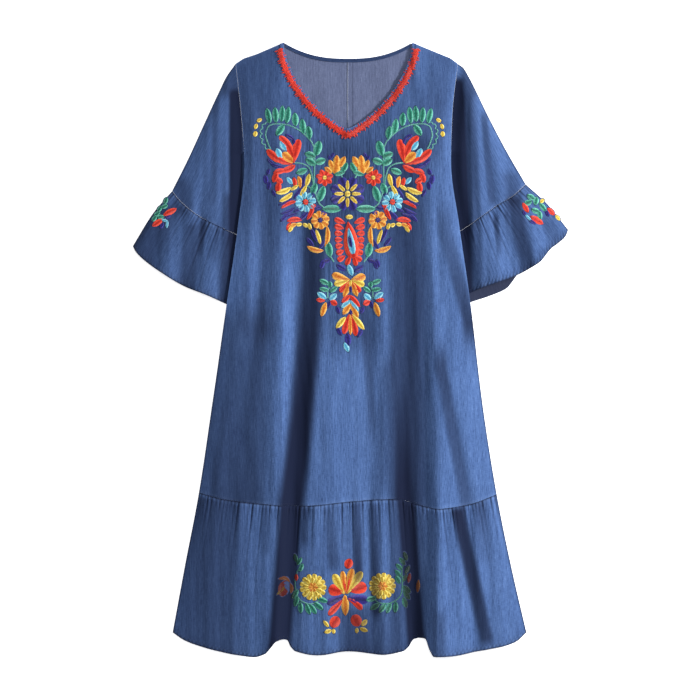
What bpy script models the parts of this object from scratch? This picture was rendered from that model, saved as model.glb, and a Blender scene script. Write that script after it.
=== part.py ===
"""A denim dress laid flat, face up: V neck, elbow sleeves with gathered ruffles, and a gathered hem tier.

Metres. X runs across the dress, Y from hem to neck, and Z up from the surface it lies on.
Left and right are as seen from above. The origin is under the middle of the dress.
"""

from collections import namedtuple

import bpy
import numpy as np

# Cloth and layers
CLOTH = 0.0012
SEAM_GAP = 0.0003
TWO_LAYERS = 2 * CLOTH + SEAM_GAP
UP = np.array([0.0, 0.0, 1.0])

# Body outline, one row for each section up the side seams and armholes
Section = namedtuple("Section", "y left right")
BODY_SECTIONS = (
    Section(-0.4535, -0.285, 0.282),
    Section(-0.345, -0.265, 0.257),
    Section(-0.230, -0.243, 0.234),
    Section(-0.090, -0.222, 0.212),
    Section(0.075, -0.198, 0.192),
    Section(0.200, -0.180, 0.174),
    Section(0.300, -0.170, 0.161),
    Section(0.375, -0.175, 0.163),
    Section(0.458, -0.184, 0.172),
    Section(0.492, -0.188, 0.176),
)
HEM_CORNER_Y = -0.4535
UNDERARM_Y = 0.300
SHOULDER_Y = 0.458

# Neckline: both necks end at the neck points, where the shoulder seams start
NECK_X = -0.004
NECK_HALF_WIDTH = 0.103
NECK_POINT_Y = 0.492
FRONT_NECK_DEPTH = 0.138
BACK_NECK_DEPTH = 0.0257
FRONT_NECK_ACROSS = 1.3
FRONT_NECK_DOWN = 1.7
BACK_NECK_ACROSS = 2.5
STEEPEST_NECK = 4.0
BAND_WIDTH = 0.006
BAND_CLOTH = 0.001
BAND_OVER_SHOULDER = 0.006
BACK_BAND_INSET = 0.003
BACK_BAND_SHARE = 0.75

# Shoulder seams, from armhole to armhole
Point = namedtuple("Point", "x y")
SHOULDERS = (
    Point(-0.184, 0.458),
    Point(-0.171, 0.4665),
    Point(-0.150, 0.4735),
    Point(-0.107, 0.492),
    Point(0.099, 0.492),
    Point(0.145, 0.4730),
    Point(0.160, 0.4670),
    Point(0.172, 0.458),
)

# Rows and columns of the front and back panels
SIDE_ROWS = 8
ARMHOLE_ROWS = 8
SIDE_COLUMNS = 9
NECK_COLUMNS = 10
COLUMNS_TO_CENTRE = 1.25
BACK_SIDE_COLUMNS = 5
BACK_NECK_COLUMNS = 6
BACK_TIER_ROWS = 3
TOP_ROUNDS = 12

# Seam between body and hem tier, and the hem, as points from left to right
TIER_SEAM = (
    Point(-0.243, -0.229),
    Point(-0.198, -0.240),
    Point(-0.145, -0.246),
    Point(-0.076, -0.250),
    Point(0.000, -0.243),
    Point(0.070, -0.239),
    Point(0.104, -0.247),
    Point(0.135, -0.254),
    Point(0.185, -0.248),
    Point(0.234, -0.232),
)
FRONT_HEM = (
    Point(-0.285, -0.4535),
    Point(-0.264, -0.4665),
    Point(-0.225, -0.4795),
    Point(-0.187, -0.488),
    Point(-0.155, -0.4915),
    Point(-0.137, -0.486),
    Point(-0.127, -0.4755),
    Point(-0.118, -0.4655),
    Point(-0.11, -0.4637),
    Point(-0.102, -0.465),
    Point(-0.096, -0.476),
    Point(-0.088, -0.4835),
    Point(-0.055, -0.489),
    Point(-0.004, -0.4822),
    Point(0.05, -0.488),
    Point(0.084, -0.483),
    Point(0.093, -0.476),
    Point(0.101, -0.4645),
    Point(0.11, -0.462),
    Point(0.119, -0.4625),
    Point(0.126, -0.48),
    Point(0.133, -0.4903),
    Point(0.158, -0.49),
    Point(0.206, -0.4823),
    Point(0.245, -0.475),
    Point(0.264, -0.4685),
    Point(0.282, -0.4535),
)
BACK_HEM_Y = -0.457

# Body folds: each runs down the front along a bowed line, and its height is a bell with two flanks
Fold = namedtuple("Fold", "x_top y_top x_end y_end bow rise_top rise_end left right")
BODY_FOLDS = (
    Fold(-0.112, 0.250, -0.121, -0.480, 0.006, 0.003, 0.016, 0.034, 0.012),
    Fold(-0.078, 0.130, -0.104, -0.480, 0.004, -0.002, -0.006, 0.016, 0.015),
    Fold(-0.024, 0.120, -0.030, -0.480, 0.000, 0.001, 0.007, 0.026, 0.038),
    Fold(0.052, 0.070, 0.050, -0.480, 0.002, 0.002, 0.004, 0.012, 0.014),
    Fold(0.094, 0.030, 0.110, -0.480, -0.012, -0.002, -0.006, 0.016, 0.016),
    Fold(0.130, 0.200, 0.138, -0.480, 0.009, 0.003, 0.015, 0.014, 0.036),
    Fold(0.155, -0.060, 0.192, -0.240, 0.000, -0.002, -0.003, 0.009, 0.009),
)
FOLD_FADE = 0.050
TIER_FOLDS = (
    Fold(-0.212, -0.240, -0.222, -0.370, 0.0, 0.0025, 0.0015, 0.009, 0.009),
    Fold(-0.176, -0.245, -0.186, -0.420, 0.0, 0.0030, 0.0020, 0.010, 0.008),
    Fold(-0.055, -0.248, -0.062, -0.390, 0.0, 0.0030, 0.0015, 0.009, 0.009),
    Fold(0.006, -0.245, 0.004, -0.430, 0.0, 0.0035, 0.0020, 0.009, 0.011),
    Fold(0.036, -0.242, 0.042, -0.380, 0.0, 0.0030, 0.0015, 0.008, 0.008),
    Fold(0.068, -0.240, 0.076, -0.410, 0.0, 0.0030, 0.0020, 0.008, 0.008),
    Fold(0.163, -0.252, 0.178, -0.400, 0.0, 0.0030, 0.0015, 0.009, 0.009),
    Fold(0.196, -0.247, 0.214, -0.440, 0.0, 0.0035, 0.0020, 0.010, 0.010),
)
SIDE_LOFT = 0.006
SIDE_LOFT_REACH = 0.015
SHOULDER_LOFT_REACH = 0.020
NECK_LOFT_REACH = 0.030
NECK_LOFT_SHARE = 0.35
OUTSIDE_NECK = 0.050
SOFTEST_RISE = 0.001

# The body's sides rest on the sleeves, which are tucked under them below the armholes
TUCK_LIFT = 0.0032
TUCK_FULL = 0.020
TUCK_END = 0.050
TUCK_LOW_Y = (-0.031, 0.033)
TUCK_HIGH_Y = (0.3195, 0.357)

# Sleeves: outer edge from the shoulder, cuff seam and ruffle hems from the outer edge inwards
LEFT_SLEEVE_EDGE = (
    Point(-0.1843, 0.458),
    Point(-0.199, 0.437),
    Point(-0.211, 0.4125),
    Point(-0.235, 0.3605),
    Point(-0.259, 0.308),
    Point(-0.286, 0.254),
)
LEFT_UNDERARM_FOLD = Point(-0.157, 0.293)
LEFT_CUFF = (
    Point(-0.286, 0.254),
    Point(-0.27, 0.2355),
    Point(-0.24, 0.2125),
    Point(-0.2035, 0.194),
    Point(-0.166, 0.177),
)
LEFT_RUFFLE_EDGE = Point(-0.3165, 0.2185)
LEFT_HEM = (
    Point(-0.349, 0.166),
    Point(-0.344, 0.157),
    Point(-0.331, 0.1435),
    Point(-0.299, 0.1205),
    Point(-0.267, 0.1015),
    Point(-0.227, 0.0855),
    Point(-0.203, 0.0745),
    Point(-0.184, 0.066),
)
LEFT_BACK_HEM = (
    Point(-0.349, 0.166),
    Point(-0.327, 0.150),
    Point(-0.290, 0.128),
    Point(-0.250, 0.106),
    Point(-0.184, 0.074),
)
RIGHT_SLEEVE_EDGE = (
    Point(0.1723, 0.458),
    Point(0.181, 0.4515),
    Point(0.1895, 0.4375),
    Point(0.223, 0.3695),
    Point(0.251, 0.3165),
    Point(0.281, 0.265),
)
RIGHT_UNDERARM_FOLD = Point(0.148, 0.293)
RIGHT_CUFF = (
    Point(0.281, 0.265),
    Point(0.261, 0.247),
    Point(0.235, 0.231),
    Point(0.18, 0.1925),
    Point(0.166, 0.184),
)
RIGHT_RUFFLE_EDGE = Point(0.3160, 0.2330)
RIGHT_HEM = (
    Point(0.349, 0.192),
    Point(0.3445, 0.1815),
    Point(0.331, 0.169),
    Point(0.3195, 0.1605),
    Point(0.3115, 0.15),
    Point(0.303, 0.14),
    Point(0.295, 0.1345),
    Point(0.267, 0.119),
    Point(0.2075, 0.0975),
    Point(0.178, 0.084),
)
RIGHT_BACK_HEM = (
    Point(0.349, 0.192),
    Point(0.332, 0.173),
    Point(0.3, 0.1405),
    Point(0.27, 0.1225),
    Point(0.259, 0.108),
    Point(0.251, 0.0985),
    Point(0.227, 0.0872),
    Point(0.195, 0.0765),
    Point(0.178, 0.071),
)
LEFT_SLEEVE_FOLDS = (
    Fold(-0.206, 0.400, -0.216, 0.205, 0.0, 0.003, 0.004, 0.014, 0.010),
    Fold(-0.226, 0.360, -0.254, 0.225, 0.0, 0.002, 0.003, 0.010, 0.012),
)
RIGHT_SLEEVE_FOLDS = (
    Fold(0.198, 0.390, 0.212, 0.210, 0.0, 0.003, 0.004, 0.010, 0.014),
    Fold(0.222, 0.360, 0.246, 0.235, 0.0, 0.002, 0.003, 0.012, 0.010),
)
SLEEVE_LOFT = 0.005
SLEEVE_LOFT_REACH = 0.012
SLEEVE_CLEAR = 0.002
SLEEVE_CLEAR_REACH = 0.020
SLEEVE_ROWS = 8
FOLD_ROLL = 0.003
MOST_SLANT = 0.55
ARMHOLE_TURN = 0.0095
ARMHOLE_LIFT_REACH = 0.012

# Gathers
TIER_GATHERS = 36
RUFFLE_GATHERS = 13
COLUMNS_PER_GATHER = 4
TIER_ROWS = (0.0, 0.035, 0.11, 0.25, 0.50, 0.77, 1.0)
RUFFLE_ROWS = (0.0, 0.12, 0.32, 0.62, 1.0)
GATHER_RISE = 0.0030
GATHER_UNEVEN = 0.30
GATHER_AT_SEAM = 0.55
GATHER_OPENS = 0.008
GATHER_SHORTEST = 0.018
GATHER_LONGEST = 0.075
RUFFLE_FLARES = 5
RUFFLE_FLARE_DRIFT = 0.6
RUFFLE_FLARE_RISE = 0.0055

# Centre back seam allowance, pressed to one side; it shows inside the neck
ALLOWANCE_WIDTH = 0.008
ALLOWANCE_LOW_Y = 0.325

# Colours, linear
DENIM = (0.052, 0.095, 0.250)
DENIM_INSIDE = (0.150, 0.180, 0.290)
DENIM_BAND = (0.040, 0.070, 0.190)


def clear_scene():
    for old in list(bpy.data.objects):
        bpy.data.objects.remove(old)


def cloth_material(name, colour):
    """Matt cloth of one colour."""
    material = bpy.data.materials.new(name)
    material.use_nodes = True
    shader = material.node_tree.nodes["Principled BSDF"]
    shader.inputs["Base Color"].default_value = (*colour, 1.0)
    shader.inputs["Roughness"].default_value = 0.85
    shader.inputs["Metallic"].default_value = 0.0
    material.diffuse_color = (*colour, 1.0)
    return material


def smooth_step(value):
    """0 below 0, 1 above 1, and an S-curve between."""
    t = np.clip(value, 0.0, 1.0)
    return t * t * (3.0 - 2.0 * t)


def smooth_curve(at, stops, values):
    """A cubic curve through the stops that never swings past them: level at each high and low one."""
    stops = np.asarray(stops, float)
    values = np.asarray(values, float)
    chords = np.diff(values) / np.diff(stops)
    product = chords[:-1] * chords[1:]
    middle = np.where(product > 0, 2 * product / np.where(product > 0, chords[:-1] + chords[1:], 1.0), 0.0)
    slopes = np.concatenate([chords[:1], middle, chords[-1:]])
    cell = np.clip(np.searchsorted(stops, at) - 1, 0, len(stops) - 2)
    width = stops[cell + 1] - stops[cell]
    t = (at - stops[cell]) / width
    from_low = (1 + 2 * t) * (1 - t) ** 2 * values[cell] + t * (1 - t) ** 2 * width * slopes[cell]
    from_high = t * t * (3 - 2 * t) * values[cell + 1] + t * t * (t - 1) * width * slopes[cell + 1]
    return from_low + from_high


def column(table, name):
    return np.array([getattr(row, name) for row in table])


def along(points, share):
    """The points at these shares of the length of a smooth curve through the given points."""
    x, y = np.array(points, float).T
    length = np.concatenate([[0.0], np.cumsum(np.hypot(np.diff(x), np.diff(y)))])
    at = np.asarray(share) * length[-1]
    return np.stack([smooth_curve(at, length, x), smooth_curve(at, length, y)], axis=-1)


def left_edge(y):
    return smooth_curve(y, column(BODY_SECTIONS, "y"), column(BODY_SECTIONS, "left"))


def right_edge(y):
    return smooth_curve(y, column(BODY_SECTIONS, "y"), column(BODY_SECTIONS, "right"))


def across(u, y):
    """X at the share u of the body's width, at height y."""
    return left_edge(y) + u * (right_edge(y) - left_edge(y))


def share_of_width(x, y):
    return (x - left_edge(y)) / (right_edge(y) - left_edge(y))


def shoulder_line(x):
    """The shoulder seams' height, and level between the neck points."""
    return np.interp(x, column(SHOULDERS, "x"), column(SHOULDERS, "y"))


def from_neck_centre(x):
    """Distance from the middle of the neck as a share of its half width, at most 1."""
    return np.minimum(np.abs(x - NECK_X) / NECK_HALF_WIDTH, 1.0)


def front_neck(x):
    """A V with soft sides: a superellipse with a sharp exponent across and a blunt one down."""
    left_over = 1 - from_neck_centre(x) ** FRONT_NECK_ACROSS
    return NECK_POINT_Y - FRONT_NECK_DEPTH * left_over ** (1 / FRONT_NECK_DOWN)


def back_neck(x):
    return NECK_POINT_Y - BACK_NECK_DEPTH * (1 - from_neck_centre(x) ** BACK_NECK_ACROSS)


def in_neck(x):
    return np.abs(x - NECK_X) < NECK_HALF_WIDTH


def front_top(x):
    return np.where(in_neck(x), front_neck(x), shoulder_line(x))


def back_top(x):
    return np.where(in_neck(x), back_neck(x), shoulder_line(x))


def top_of_columns(u, top):
    """Where the column u meets the top outline: x depends on y a little, so it is settled in a few rounds."""
    y = np.full_like(u, SHOULDER_Y)
    for _ in range(TOP_ROUNDS):
        y = 0.5 * (y + np.minimum(top(across(u, y)), NECK_POINT_Y))
    return y


def fold_relief(x, y, folds):
    """The folds' heights added up. Each is a bell across its line, with its own flank on either side."""
    relief = np.zeros_like(x)
    for fold in folds:
        way = (fold.y_top - y) / (fold.y_top - fold.y_end)
        t = np.clip(way, 0.0, 1.0)
        line = fold.x_top + t * (fold.x_end - fold.x_top) + 4 * fold.bow * t * (1 - t)
        rise = fold.rise_top + t * (fold.rise_end - fold.rise_top)
        beyond = np.maximum(np.maximum(y - fold.y_top, fold.y_end - y), 0.0)
        flank = np.where(x < line, fold.left, fold.right)
        relief += rise * np.exp(-(((x - line) / flank) ** 2) - (beyond / FOLD_FADE) ** 2)
    return relief


def tuck_lift(x, y):
    """How far the body's back layer is held off the surface by a sleeve tucked under its side."""
    inward = np.minimum(x - left_edge(y), right_edge(y) - x)
    near_side = 1 - smooth_step((inward - TUCK_FULL) / (TUCK_END - TUCK_FULL))
    above_low = smooth_step((y - TUCK_LOW_Y[0]) / (TUCK_LOW_Y[1] - TUCK_LOW_Y[0]))
    below_high = 1 - smooth_step((y - TUCK_HIGH_Y[0]) / (TUCK_HIGH_Y[1] - TUCK_HIGH_Y[0]))
    return TUCK_LIFT * near_side * above_low * below_high


def never_under(rise):
    """The rise, bent so that it flattens out just above 0 and never goes under it."""
    return 0.5 * (rise + np.sqrt(rise * rise + SOFTEST_RISE * SOFTEST_RISE)) - 0.5 * SOFTEST_RISE


def front_height(x, y, more_folds=()):
    """Top of the front layer: two layers at the seams, loft inside them, and the folds."""
    from_side = np.maximum(np.minimum(x - left_edge(y), right_edge(y) - x), 0.0)
    from_shoulder = np.maximum(shoulder_line(x) - y, 0.0)
    from_neck = np.where(in_neck(x), np.maximum(front_neck(x) - y, 0.0), from_shoulder + OUTSIDE_NECK)
    inside = (1 - np.exp(-from_side / SIDE_LOFT_REACH)) * (1 - np.exp(-from_shoulder / SHOULDER_LOFT_REACH))
    at_neck = NECK_LOFT_SHARE + (1 - NECK_LOFT_SHARE) * (1 - np.exp(-from_neck / NECK_LOFT_REACH))
    folds = fold_relief(x, y, BODY_FOLDS) + fold_relief(x, y, more_folds)
    return TWO_LAYERS + tuck_lift(x, y) + never_under(inside * (SIDE_LOFT * at_neck + folds))


def gather_wave(phase, distance):
    """Height of gathers at a distance from their seam: each gather has its own height and length."""
    number = np.floor(phase + 0.5)
    strength = 1 - GATHER_UNEVEN + GATHER_UNEVEN * np.sin(2.4 * number)
    reach = 0.5 + 0.5 * np.sin(1.9 * number + 0.7)
    length = GATHER_SHORTEST + reach * (GATHER_LONGEST - GATHER_SHORTEST)
    start = GATHER_AT_SEAM + (1 - GATHER_AT_SEAM) * smooth_step(distance / GATHER_OPENS)
    ridge = 0.5 + 0.5 * np.cos(2 * np.pi * phase)
    return GATHER_RISE * strength * ridge * start * np.exp(-distance / length)


def unit_normals(grid):
    """Normals of a grid of points, from the differences between neighbours."""
    across_grid = np.gradient(grid, axis=1)
    up_grid = np.gradient(grid, axis=0)
    normals = np.cross(across_grid, up_grid)
    return normals / np.linalg.norm(normals, axis=-1, keepdims=True)


def turned(quads):
    """The same quads facing the other way, with the same first and third corner."""
    return quads[:, [0, 3, 2, 1]]


def add_object(name, points, quads, material):
    """An object from quads, each split from its first to its third corner."""
    faces = np.concatenate([quads[:, [0, 1, 2]], quads[:, [0, 2, 3]]])
    mesh = bpy.data.meshes.new(name)
    mesh.from_pydata(points.reshape(-1, 3).tolist(), [], faces.tolist())
    mesh.materials.append(material)
    mesh.shade_smooth()
    mesh.set_sharp_from_angle(angle=np.radians(50))
    item = bpy.data.objects.new(name, mesh)
    bpy.context.scene.collection.objects.link(item)
    return item


def sheet(name, top, bottom, material):
    """A closed wall between two grids of points, with a rim round its four sides."""
    rows, columns = top.shape[:2]
    under = rows * columns
    index = np.arange(under).reshape(rows, columns)
    corner = index[:-1, :-1].ravel()
    quads = np.stack([corner, corner + 1, corner + columns + 1, corner + columns], axis=1)
    border = np.concatenate([index[0, :-1], index[:-1, -1], index[-1, :0:-1], index[:0:-1, 0]])
    after = np.roll(border, -1)
    rim = np.stack([border, border + under, after + under, after], axis=1)
    quads = np.concatenate([quads, turned(quads) + under, rim])
    return add_object(name, np.concatenate([top, bottom]), quads, material)


def cloth_sheet(name, top, material):
    """A wall of the cloth's thickness under a grid of points; its rim goes straight down, clear of neighbours."""
    normals = unit_normals(top)
    for edge in (np.s_[0, :], np.s_[-1, :], np.s_[:, 0], np.s_[:, -1]):
        normals[edge] = UP
    return sheet(name, top, top - CLOTH * normals, material)


def tube(name, outer, inner, material):
    """A closed wall between two stacks of closed rings, with a rim at each end."""
    rings, around = outer.shape[:2]
    inside = rings * around
    here = np.arange(inside).reshape(rings, around)
    after = np.roll(here, -1, axis=1)
    walls = np.stack([here[:-1], after[:-1], after[1:], here[1:]], axis=-1).reshape(-1, 4)
    first = np.stack([here[0], here[0] + inside, after[0] + inside, after[0]], axis=1)
    last = np.stack([here[-1], after[-1], after[-1] + inside, here[-1] + inside], axis=1)
    quads = np.concatenate([walls, turned(walls) + inside, first, last])
    return add_object(name, np.concatenate([outer, inner]), quads, material)


def panel_rows():
    """Shares of the panels' height at their rows, so that rows fall evenly along the armhole."""
    seam_y = TIER_SEAM[0].y
    top_y = SHOULDER_Y - BAND_WIDTH
    side = np.linspace(seam_y, UNDERARM_Y, SIDE_ROWS + 1)
    armhole = np.linspace(UNDERARM_Y, top_y, ARMHOLE_ROWS + 1)[1:]
    return (np.concatenate([side, armhole]) - seam_y) / (top_y - seam_y)


def panel_columns(side_columns, neck_columns):
    """Shares of the width at the left half's columns, with one at the neck point, from side to centre."""
    neck_share = share_of_width(NECK_X - NECK_HALF_WIDTH, NECK_POINT_Y)
    centre_share = share_of_width(NECK_X, NECK_POINT_Y)
    side = np.linspace(0.0, neck_share, side_columns + 1)
    spread = np.linspace(0.0, 1.0, neck_columns + 1)[1:] ** COLUMNS_TO_CENTRE
    return np.concatenate([side, neck_share + spread * (centre_share - neck_share)])


def mirrored_columns(left_half):
    """The left half's shares and their mirror images about the neck's centre, scaled to reach 1."""
    centre = left_half[-1]
    return np.concatenate([left_half, centre + (1 - centre) * (1 - left_half[-2::-1] / centre)])


def tier_seam_y(u):
    """The seam with the hem tier at the share u of the width."""
    return smooth_curve(across(u, TIER_SEAM[0].y), column(TIER_SEAM, "x"), column(TIER_SEAM, "y"))


def panel_outline(u, top):
    """For each column: the seam's height, the height of the row under the neck band, and the top."""
    seam = tier_seam_y(u)
    top_y = top_of_columns(u, top)
    x = across(u, top_y)
    slope = np.minimum(np.abs(np.gradient(top_y, x)), STEEPEST_NECK)
    drop = np.where(in_neck(x), BAND_WIDTH * np.hypot(1.0, slope), BAND_WIDTH)
    return seam, top_y - drop, top_y


def panel_grid(u, top):
    """Plan points of a body panel: rows from the tier seam up to the band's lower edge, and the top edge."""
    seam, below_band, top_y = panel_outline(u, top)
    v = panel_rows()[:, None]
    y = np.concatenate([seam + v * (below_band - seam), top_y[None, :]])
    return np.stack([across(u, y), y], axis=-1)


def add_height(plan, height):
    return np.concatenate([plan, height[..., None]], axis=-1)


def front_panel(material):
    u = mirrored_columns(panel_columns(SIDE_COLUMNS, NECK_COLUMNS))
    plan = panel_grid(u, front_top)
    points = add_height(plan, front_height(plan[..., 0], plan[..., 1]))
    cloth_sheet("front_panel", points, material)
    return u, points


def neck_band_front(front, material):
    """A strip on the front panel's top two rows, from just past one neck point to just past the other."""
    x = front[-1, :, 0]
    first = np.searchsorted(x, NECK_X - NECK_HALF_WIDTH - BAND_OVER_SHOULDER) - 1
    last = np.searchsorted(x, NECK_X + NECK_HALF_WIDTH + BAND_OVER_SHOULDER) + 1
    strip = front[-2:, first:last]
    sheet("neck_band_front", strip + (SEAM_GAP + BAND_CLOTH) * UP, strip + SEAM_GAP * UP, material)


def back_panels(left_material, right_material):
    """Two flat halves that meet at the centre back seam."""
    left = panel_columns(BACK_SIDE_COLUMNS, BACK_NECK_COLUMNS)
    right = mirrored_columns(left)[len(left) - 1 :]
    for name, u, side, material in (
        ("back_panel_left", left, -1, left_material),
        ("back_panel_right", right, 1, right_material),
    ):
        plan = panel_grid(u, back_top)
        centre = -1 if side < 0 else 0
        plan[:, centre, 0] += side * SEAM_GAP / 2
        bottom = add_height(plan, tuck_lift(plan[..., 0], plan[..., 1]))
        sheet(name, bottom + CLOTH * UP, bottom, material)
    return np.concatenate([left, right[1:]])


def neck_band_back(material):
    """A flat strip along the back neck, on the back panels."""
    reach = NECK_HALF_WIDTH - BACK_BAND_INSET
    x = NECK_X + np.linspace(-reach, reach, 2 * NECK_COLUMNS + 1)
    top_y = back_neck(x)
    width = np.minimum(BAND_WIDTH, BACK_BAND_SHARE * (top_y - front_neck(x)))
    plan = np.stack([np.stack([x, top_y - width], axis=-1), np.stack([x, top_y], axis=-1)])
    low = add_height(plan, np.full(plan.shape[:2], CLOTH + SEAM_GAP))
    sheet("neck_band_back", low + BAND_CLOTH * UP, low, material)


def centre_back_allowance(material):
    """The raw edges of the centre back seam, pressed to the right, from the band down past the V."""
    top_y = back_neck(NECK_X) - BAND_WIDTH - SEAM_GAP
    x = NECK_X + np.array([0.0, ALLOWANCE_WIDTH])
    y = np.array([ALLOWANCE_LOW_Y, top_y])
    plan = np.stack(np.meshgrid(x, y), axis=-1)
    low = add_height(plan, np.full(plan.shape[:2], CLOTH + SEAM_GAP))
    sheet("centre_back_allowance", low + BAND_CLOTH * UP, low, material)


def gather_columns(count):
    """Phases of a row of gathers, with the same number of columns to each."""
    return np.linspace(0.0, count, count * COLUMNS_PER_GATHER + 1)


def hem_tier_front(panel_u, material):
    """The front of the hem tier: gathered at the seam, folded with the body, and wavy at the hem."""
    phase = gather_columns(TIER_GATHERS)
    u = phase / TIER_GATHERS
    seam = np.interp(u, panel_u, tier_seam_y(panel_u)) - SEAM_GAP
    hem = smooth_curve(across(u, HEM_CORNER_Y), column(FRONT_HEM, "x"), column(FRONT_HEM, "y"))
    v = np.array(TIER_ROWS)[:, None]
    y = seam + v * (hem - seam)
    x = across(u, np.maximum(y, HEM_CORNER_Y))
    at_side = smooth_step(np.minimum(x - x[:, :1], x[:, -1:] - x) / SIDE_LOFT_REACH)
    waves = gather_wave(phase, seam - y) * at_side
    points = add_height(np.stack([x, y], axis=-1), front_height(x, np.maximum(y, HEM_CORNER_Y), TIER_FOLDS) + waves)
    cloth_sheet("hem_tier_front", points[::-1], material)


def hem_tier_back(panel_u, material):
    """The back of the hem tier lies flat under the front, a little shorter."""
    u = panel_u
    seam = tier_seam_y(u) - SEAM_GAP
    hem = BACK_HEM_Y + (HEM_CORNER_Y - BACK_HEM_Y) * (2 * u - 1) ** 2
    v = np.linspace(1.0, 0.0, BACK_TIER_ROWS + 1)[:, None]
    y = seam + v * (hem - seam)
    x = across(u, np.maximum(y, HEM_CORNER_Y))
    bottom = add_height(np.stack([x, y], axis=-1), np.zeros_like(x))
    sheet("hem_tier_back", bottom + CLOTH * UP, bottom, material)


def patch_points(s, t, start, end, outer, inner):
    """A Coons patch at the shares s across and t along, from its four edge curves."""
    s, t = s[None, :, None], t[:, None, None]
    between_ends = (1 - t) * start[None] + t * end[None]
    between_sides = (1 - s) * outer[:, None] + s * inner[:, None]
    corners = (1 - t) * ((1 - s) * start[0] + s * start[-1]) + t * ((1 - s) * end[0] + s * end[-1])
    return between_ends + between_sides - corners


def straight(first, last, t):
    return (1 - t)[:, None] * np.asarray(first) + t[:, None] * np.asarray(last)


class Side:
    """What differs between the left and right sleeve."""

    def __init__(self, name, sign, edge_x, edge, underarm_fold, cuff, ruffle_edge, hem, back_hem, folds):
        self.name = name
        self.sign = sign
        self.edge_x = edge_x
        self.edge = edge
        self.underarm_fold = underarm_fold
        self.cuff = cuff
        self.ruffle_edge = ruffle_edge
        self.hem = hem
        self.back_hem = back_hem
        self.folds = folds

    def outside(self, x, y):
        """Distance outside the body's edge, negative under the body."""
        return self.sign * (x - self.edge_x(y))


def armhole_curve(side, halved):
    """Down the armhole beside the panels' rows, then under the body to the sleeve's lower fold."""
    seam_y = TIER_SEAM[0].y
    rows = seam_y + panel_rows() * (SHOULDER_Y - BAND_WIDTH - seam_y)
    y = np.concatenate([[SHOULDER_Y], rows[::-1][:ARMHOLE_ROWS], [UNDERARM_Y + ARMHOLE_TURN]])
    x = np.interp(y, rows, side.edge_x(rows)) + side.sign * SEAM_GAP
    x[0] = side.edge_x(np.array(SHOULDER_Y)) + side.sign * SEAM_GAP
    points = np.append(np.stack([x, y], axis=-1), [side.underarm_fold], axis=0)
    length = np.concatenate([[0.0], np.cumsum(np.linalg.norm(np.diff(points, axis=0), axis=1))])
    known = length / length[-1]
    share = with_rolls(np.append(known, 0.5 * (known[1:] + known[:-1])) if halved else known, length[-1])
    return share, np.stack([np.interp(share, known, points[:, k]) for k in (0, 1)], axis=-1)


def with_rolls(shares, width):
    """The shares with one more just inside each end, where the cloth rolls over its fold."""
    roll = FOLD_ROLL / width
    inside = shares[(shares > 1.5 * roll) & (shares < 1 - 1.5 * roll)]
    return np.sort(np.concatenate([inside, [0.0, roll, 1 - roll, 1.0]]))


def sleeve_height(side, plan, share, waves):
    """Top of a sleeve's front layer: flat where it is under the body, with loft, folds and waves beside it."""
    x, y = plan[..., 0], plan[..., 1]
    outside = side.outside(x, y)
    width = np.linalg.norm(plan[:, -1] - plan[:, 0], axis=-1)[:, None]
    roll = 1 - np.exp(-share * width / SLEEVE_LOFT_REACH)
    clear = smooth_step((outside - SLEEVE_CLEAR) / SLEEVE_CLEAR_REACH)
    rise = never_under(clear * roll * (SLEEVE_LOFT + fold_relief(x, y, side.folds) + waves))
    lift = tuck_lift(side.edge_x(y), y) * smooth_step((y - UNDERARM_Y - ARMHOLE_TURN) / ARMHOLE_TURN)
    return TWO_LAYERS + rise + lift * np.exp(-np.maximum(outside, 0.0) / ARMHOLE_LIFT_REACH)


def flat_tube(name, side, front, back, material):
    """A tube lying flat: the front grid's first and last columns are its folds, and the back closes it."""
    middle = 0.5 * TWO_LAYERS
    normals = unit_normals(front)
    if side.sign < 0:
        normals = -normals
    normals[0, :] = UP
    normals[-1, :] = UP
    inner_front = front - CLOTH * normals
    for fold, beside in ((0, 1), (-1, -2)):
        edge = np.gradient(front[:, fold, :2], axis=0)
        row = front[:, beside, :2] - front[:, fold, :2]
        edge /= np.linalg.norm(edge, axis=1, keepdims=True)
        row /= np.linalg.norm(row, axis=1, keepdims=True)
        slant = np.abs(edge[:, 0] * row[:, 1] - edge[:, 1] * row[:, 0])
        front[:, fold, 2] = middle
        inner_front[:, fold] = front[:, fold]
        inner_front[:, fold, :2] += CLOTH / np.maximum(slant, MOST_SLANT)[:, None] * row
    outer = np.concatenate([front, back[:, ::-1]], axis=1)
    inner = np.concatenate([inner_front, back[:, ::-1] + CLOTH * UP], axis=1)
    if side.sign < 0:
        outer, inner = outer[:, ::-1], inner[:, ::-1]
    tube(name, outer, inner, material)


def sleeve(side, material):
    """A sleeve from armhole to cuff seam, tucked under the body's side below the underarm."""
    t = np.linspace(0.0, 1.0, SLEEVE_ROWS + 1)
    outer = along(side.edge, t)
    inner = straight(side.underarm_fold, side.cuff[-1], t)
    front_s, armhole = armhole_curve(side, halved=True)
    front_plan = patch_points(front_s, t, armhole, along(side.cuff, front_s), outer, inner)
    front = add_height(front_plan, sleeve_height(side, front_plan, front_s, 0.0))
    back_s, armhole = armhole_curve(side, halved=False)
    back_plan = patch_points(back_s, t, armhole, along(side.cuff, back_s), outer, inner)
    back = add_height(back_plan, np.zeros(back_plan.shape[:2]))
    flat_tube(f"sleeve_{side.name}", side, front, back[:, 1:-1], material)
    return (front_s, front_plan[-1]), (back_s, back_plan[-1])


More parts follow.
